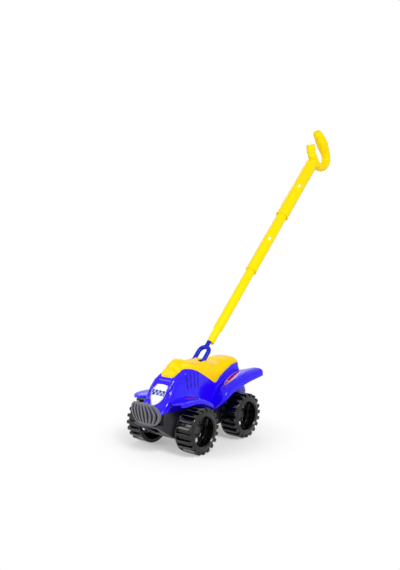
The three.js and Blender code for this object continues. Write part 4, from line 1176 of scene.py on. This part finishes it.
lowerTube = tubeMesh(
    "lowerTube", pole["lower"], pole["segments"], pole["offset"], pole["roundSteps"]
)
dress(lowerTube, lowerPolePlastic, "handle", "pole", "lower_tube")
for part, plastic in (("middle", middlePolePlastic), ("upper", polePlastic)):
    dress(outerTube(part + "Tube", pole[part], pole), plastic, part, "pole", part + "_tube")
print("pole made")


grip = {
    "inner": 612,
    "span": 53.2,
    "reach": 42.2,
    "bar": 9.5,
    "broader": 1.13,  # across the bar, as a share of its radius
    "segments": 64,
    "rows": 220,
    # share of the span, share of the reach, share of the bar's radius
    "line": [
        (0.24, 0.87, 0.94), (0.05, 0.47, 1), (0, 0, 1), (0, -0.37, 1), (0.12, -0.7, 1),
        (0.33, -0.92, 1.02), (0.56, -0.98, 1.04), (0.75, -0.92, 1.04), (0.87, -0.78, 1.02),
        (0.94, -0.52, 1.06), (0.97, -0.28, 1.18), (1.01, 0.1, 1.29), (1.02, 0.5, 1.18),
        (1, 0.92, 0.9),
    ],
    # shallow grooves: place along the bar, depth and width
    "grooves": (0.08, 0.26, 0.6, 0.93),
    "grooveDepth": 0.9,
    "grooveWidth": 0.011,
    # the neck that plugs into the upper tube: radius, along, rounding
    "neck": [
        (0, 577, 0), (11.6, 577, 0.6), (11.6, 596.3, 0), (13.8, 596.3, 0.4), (13.8, 599.2, 0.9),
        (9.6, 603.5, 1.6), (9.2, 612, 0), (0, 612, 0),
    ],
}


def smoothLine(points, count):
    # Catmull-Rom curve through the points, sampled evenly in its parameter.
    points = np.asarray(points, float)
    padded = np.concatenate([2 * points[:1] - points[1:2], points, 2 * points[-1:] - points[-2:-1]])
    u = np.linspace(0, len(points) - 1, count)
    i = np.minimum(u.astype(int), len(points) - 2)
    t = (u - i)[:, None]
    a, b, c, d = (padded[i + k] for k in range(4))
    square, cube = 2 * a - 5 * b + 4 * c - d, 3 * b - a - 3 * c + d
    return 0.5 * (2 * b + (c - a) * t + square * t**2 + cube * t**3)


# how a bar closes: its rings as shares of the round's length and of the radius, and how many of the
# line's first and last points they replace
barEnd = {
    "round": 1.6,
    "rings": [(0, 0), (0, 0.8), (0.18, 0.94), (0.5, 1)],
    "skip": 3,
}


def sweptBar(name, line, radii, segments, side, broader=1):
    # A bar along a line in a plane square to side: centre + radius (cos(a) side + sin(a) up), and
    # broader times as wide across. Flat ends with a round edge take the place of the last points.
    line, radii, side = (np.asarray(a, float) for a in (line, radii, side))
    along = unitVectors(np.gradient(line, axis=0))
    forward, shrink = np.array(barEnd["rings"]).T
    run = forward[:, None] * barEnd["round"]
    inner = slice(barEnd["skip"], -barEnd["skip"])
    start, finish = line[0] + along[0] * run, line[-1] - along[-1] * run
    centre = np.concatenate([start, line[inner], finish[::-1]])
    radius = np.concatenate([radii[0] * shrink, radii[inner], (radii[-1] * shrink)[::-1]])
    ahead = np.concatenate([0 * run + along[0], along[inner], 0 * run + along[-1]])
    up = np.cross(ahead, side)[:, None]
    angle = np.linspace(0, 2 * math.pi, segments, endpoint=False)[None, :, None]
    ring = centre[:, None] + radius[:, None, None] * (np.cos(angle) * side + np.sin(angle) * up)
    return gridPiece(name, polePoint(ring * (broader, 1, 1)), closedRows=False)


def gripMesh(g, p):
    # The open C: a bar along a smooth line in the pole's middle plane, with grooves, and the neck.
    y, z, thick = smoothLine(g["line"], g["rows"]).T
    line = np.stack([0 * y, g["inner"] + y * g["span"], p["offset"] + z * g["reach"]], -1)
    radii = g["bar"] * thick
    u = np.linspace(0, 1, g["rows"])
    for place in g["grooves"]:
        radii = radii - g["grooveDepth"] * hump(u, place, g["grooveWidth"])
    bar = sweptBar("gripBar", line, radii, g["segments"], (1, 0, 0), g["broader"])
    neck = tubeMesh("gripNeck", g["neck"], g["segments"], p["offset"], p["roundSteps"])
    return joinPieces("gripHandle", [bar, neck])


dress(gripMesh(grip, pole), polePlastic, "upper", "pole", "grip")


fork = {
    "half": 12,
    "crown": 47,  # of the loop's middle line, from the pin
    "bar": 4.5,
    "segments": 40,
    "bendSteps": 40,
    "legSteps": 24,
    "eyeSegments": 48,
    # an eye's outline round the pin: radius, place across, rounding
    "eye": [(2.3, -4.5, 0.3), (5.6, -4.5, 1), (5.6, 4.5, 1), (2.3, 4.5, 0.3)],
    "stem": [
        (0, 46, 0), (4.5, 46, 0), (4.5, 61.6, 0.5), (2.5, 61.7, 0), (2.5, 84, 0.3),
        (0, 84, 0),
    ],
}


def forkMesh(f, p):
    # The loop is a bar along two legs and a half circle, with an eye on each foot and a stem.
    half = f["half"]
    bend = f["crown"] - half
    angle = np.linspace(0, math.pi, f["bendSteps"])
    arc = np.stack([half * np.cos(angle), bend + half * np.sin(angle), 0 * angle], -1)
    leg = np.linspace(0, bend, f["legSteps"], endpoint=False)
    right = np.stack([np.full_like(leg, half), leg, 0 * leg], -1)
    line = np.concatenate([right, arc, (right * (-1, 1, 1))[::-1]])
    pieces = [sweptBar("forkLoop", line, np.full(len(line), f["bar"]), f["segments"], (0, 0, 1))]
    ring = turnedPoints(roundedProfile(f["eye"], p["roundSteps"]), f["eyeSegments"])
    for side in (half, -half):
        eye = np.stack([ring[..., 1] + side, ring[..., 0], ring[..., 2]], -1)
        pieces.append(gridPiece("forkEye", polePoint(eye)))
    pieces.append(tubeMesh("forkStem", f["stem"], f["segments"], 0, p["roundSteps"]))
    return joinPieces("forkLoopAndStem", pieces)


dress(forkMesh(fork, pole), forkPlastic, "handle", "fork", "handle_fork")
print("grip and fork made")

# the CAD nodes that still show: steel, or grey where they are caps
for name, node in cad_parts.items():
    if node.hide_render:
        continue
    node.data.materials.clear()
    node.data.materials.append(greyPlastic if "cap" in name else drawnSteel)


studio = {
    "worldStrength": 0.27,
    # lamps, in metres from the toy's middle: name, power, size, place and aim
    "lamps": (
        ("keyLamp", 26, 0.6, (1.3, -0.55, 1.35), (0, 0, 0.1)),
        ("frontLamp", 5, 0.6, (-0.5, -0.84, 0.4), (0.05, -0.1, 0.05)),
        ("backLamp", 4.5, 0.8, (-0.9, 1.1, 1.2), (0, 0.1, 0.2)),
    ),
    # the floor: half its side, and how far it lies under the wheels, in metres
    "floorReach": 6,
    "floorDrop": 0.0002,
    "paper": "#F6F6F6",
    "paperRoughness": 0.7,
    "paperShine": 0.1,
    # distances from the middle between which the paper turns white, and its share at the first
    "whiteSpan": (0.07, 0.24),
    "whiteStart": 0.35,
}


def plainTo(tree):
    # 1 for rays straight from the camera, or by way of metal or glass.
    rays = addNode(tree, "ShaderNodeLightPath").outputs
    seen = rays["Is Camera Ray"]
    for ray in ("Is Glossy Ray", "Is Transmission Ray"):
        seen = addNode(tree, "ShaderNodeMath", {"operation": "MAXIMUM"}, in0=seen, in1=rays[ray])
    return seen


def floorMaterial(s):
    # White paper: its own shading near the toy keeps the shadow, and further out it is plain white
    # to the camera.
    material, tree, shader, place = newMaterial("whitePaper")
    feed(tree, shader, {"Base Color": hexLinear(s["paper"]), "Roughness": s["paperRoughness"]})
    feed(tree, shader, {"Specular IOR Level": s["paperShine"]})
    far = addNode(tree, "ShaderNodeVectorMath", {"operation": "LENGTH"}, in0=place).outputs["Value"]
    near, plain = s["whiteSpan"]
    ramp = addNode(
        tree, "ShaderNodeMapRange", {"interpolation_type": "SMOOTHSTEP"}, in0=far,
        in1=near, in2=plain, in3=s["whiteStart"], in4=1,
    )
    share = addNode(tree, "ShaderNodeMath", {"operation": "MULTIPLY"}, in0=ramp, in1=plainTo(tree))
    white = addNode(tree, "ShaderNodeEmission", Color=(1, 1, 1, 1), Strength=1)
    mix = addNode(tree, "ShaderNodeMixShader", in0=share, in1=shader, in2=white)
    feed(tree, tree.nodes["Material Output"], {"Surface": mix})
    return material


def makeStudio(s):
    # The paper floor, a white world that the camera sees at strength 1, and the lamps.
    middle = Vector((0, shiftY * mm, 0))
    reach = s["floorReach"]
    mesh = bpy.data.meshes.new("floor")
    corners = [(-reach, -reach, 0), (reach, -reach, 0), (reach, reach, 0), (-reach, reach, 0)]
    mesh.from_pydata(corners, [], [(0, 1, 2, 3)])
    floor = newObject("floor", mesh)
    floor.location = (0, shiftY * mm, -s["floorDrop"])
    floor.data.materials.append(floorMaterial(s))
    world = bpy.data.worlds.new("studio")
    world.use_nodes = True
    bpy.context.scene.world = world
    tree = world.node_tree
    tree.nodes.clear()
    light, seen = (
        addNode(tree, "ShaderNodeBackground", Color=(1, 1, 1, 1), Strength=strength)
        for strength in (s["worldStrength"], 1)
    )
    mix = addNode(tree, "ShaderNodeMixShader", in0=plainTo(tree), in1=light, in2=seen)
    addNode(tree, "ShaderNodeOutputWorld", Surface=mix)
    for name, power, size, place, aim in s["lamps"]:
        data = bpy.data.lights.new(name, "AREA")
        data.energy = power
        data.size = size
        lamp = newObject(name, data)
        lamp.location = Vector(place) + middle
        turn = (Vector(aim) + middle - lamp.location).to_track_quat("-Z", "Y")
        lamp.rotation_euler = turn.to_euler()


makeStudio(studio)
bpy.context.scene.view_settings.view_transform = "Standard"
print("studio made")
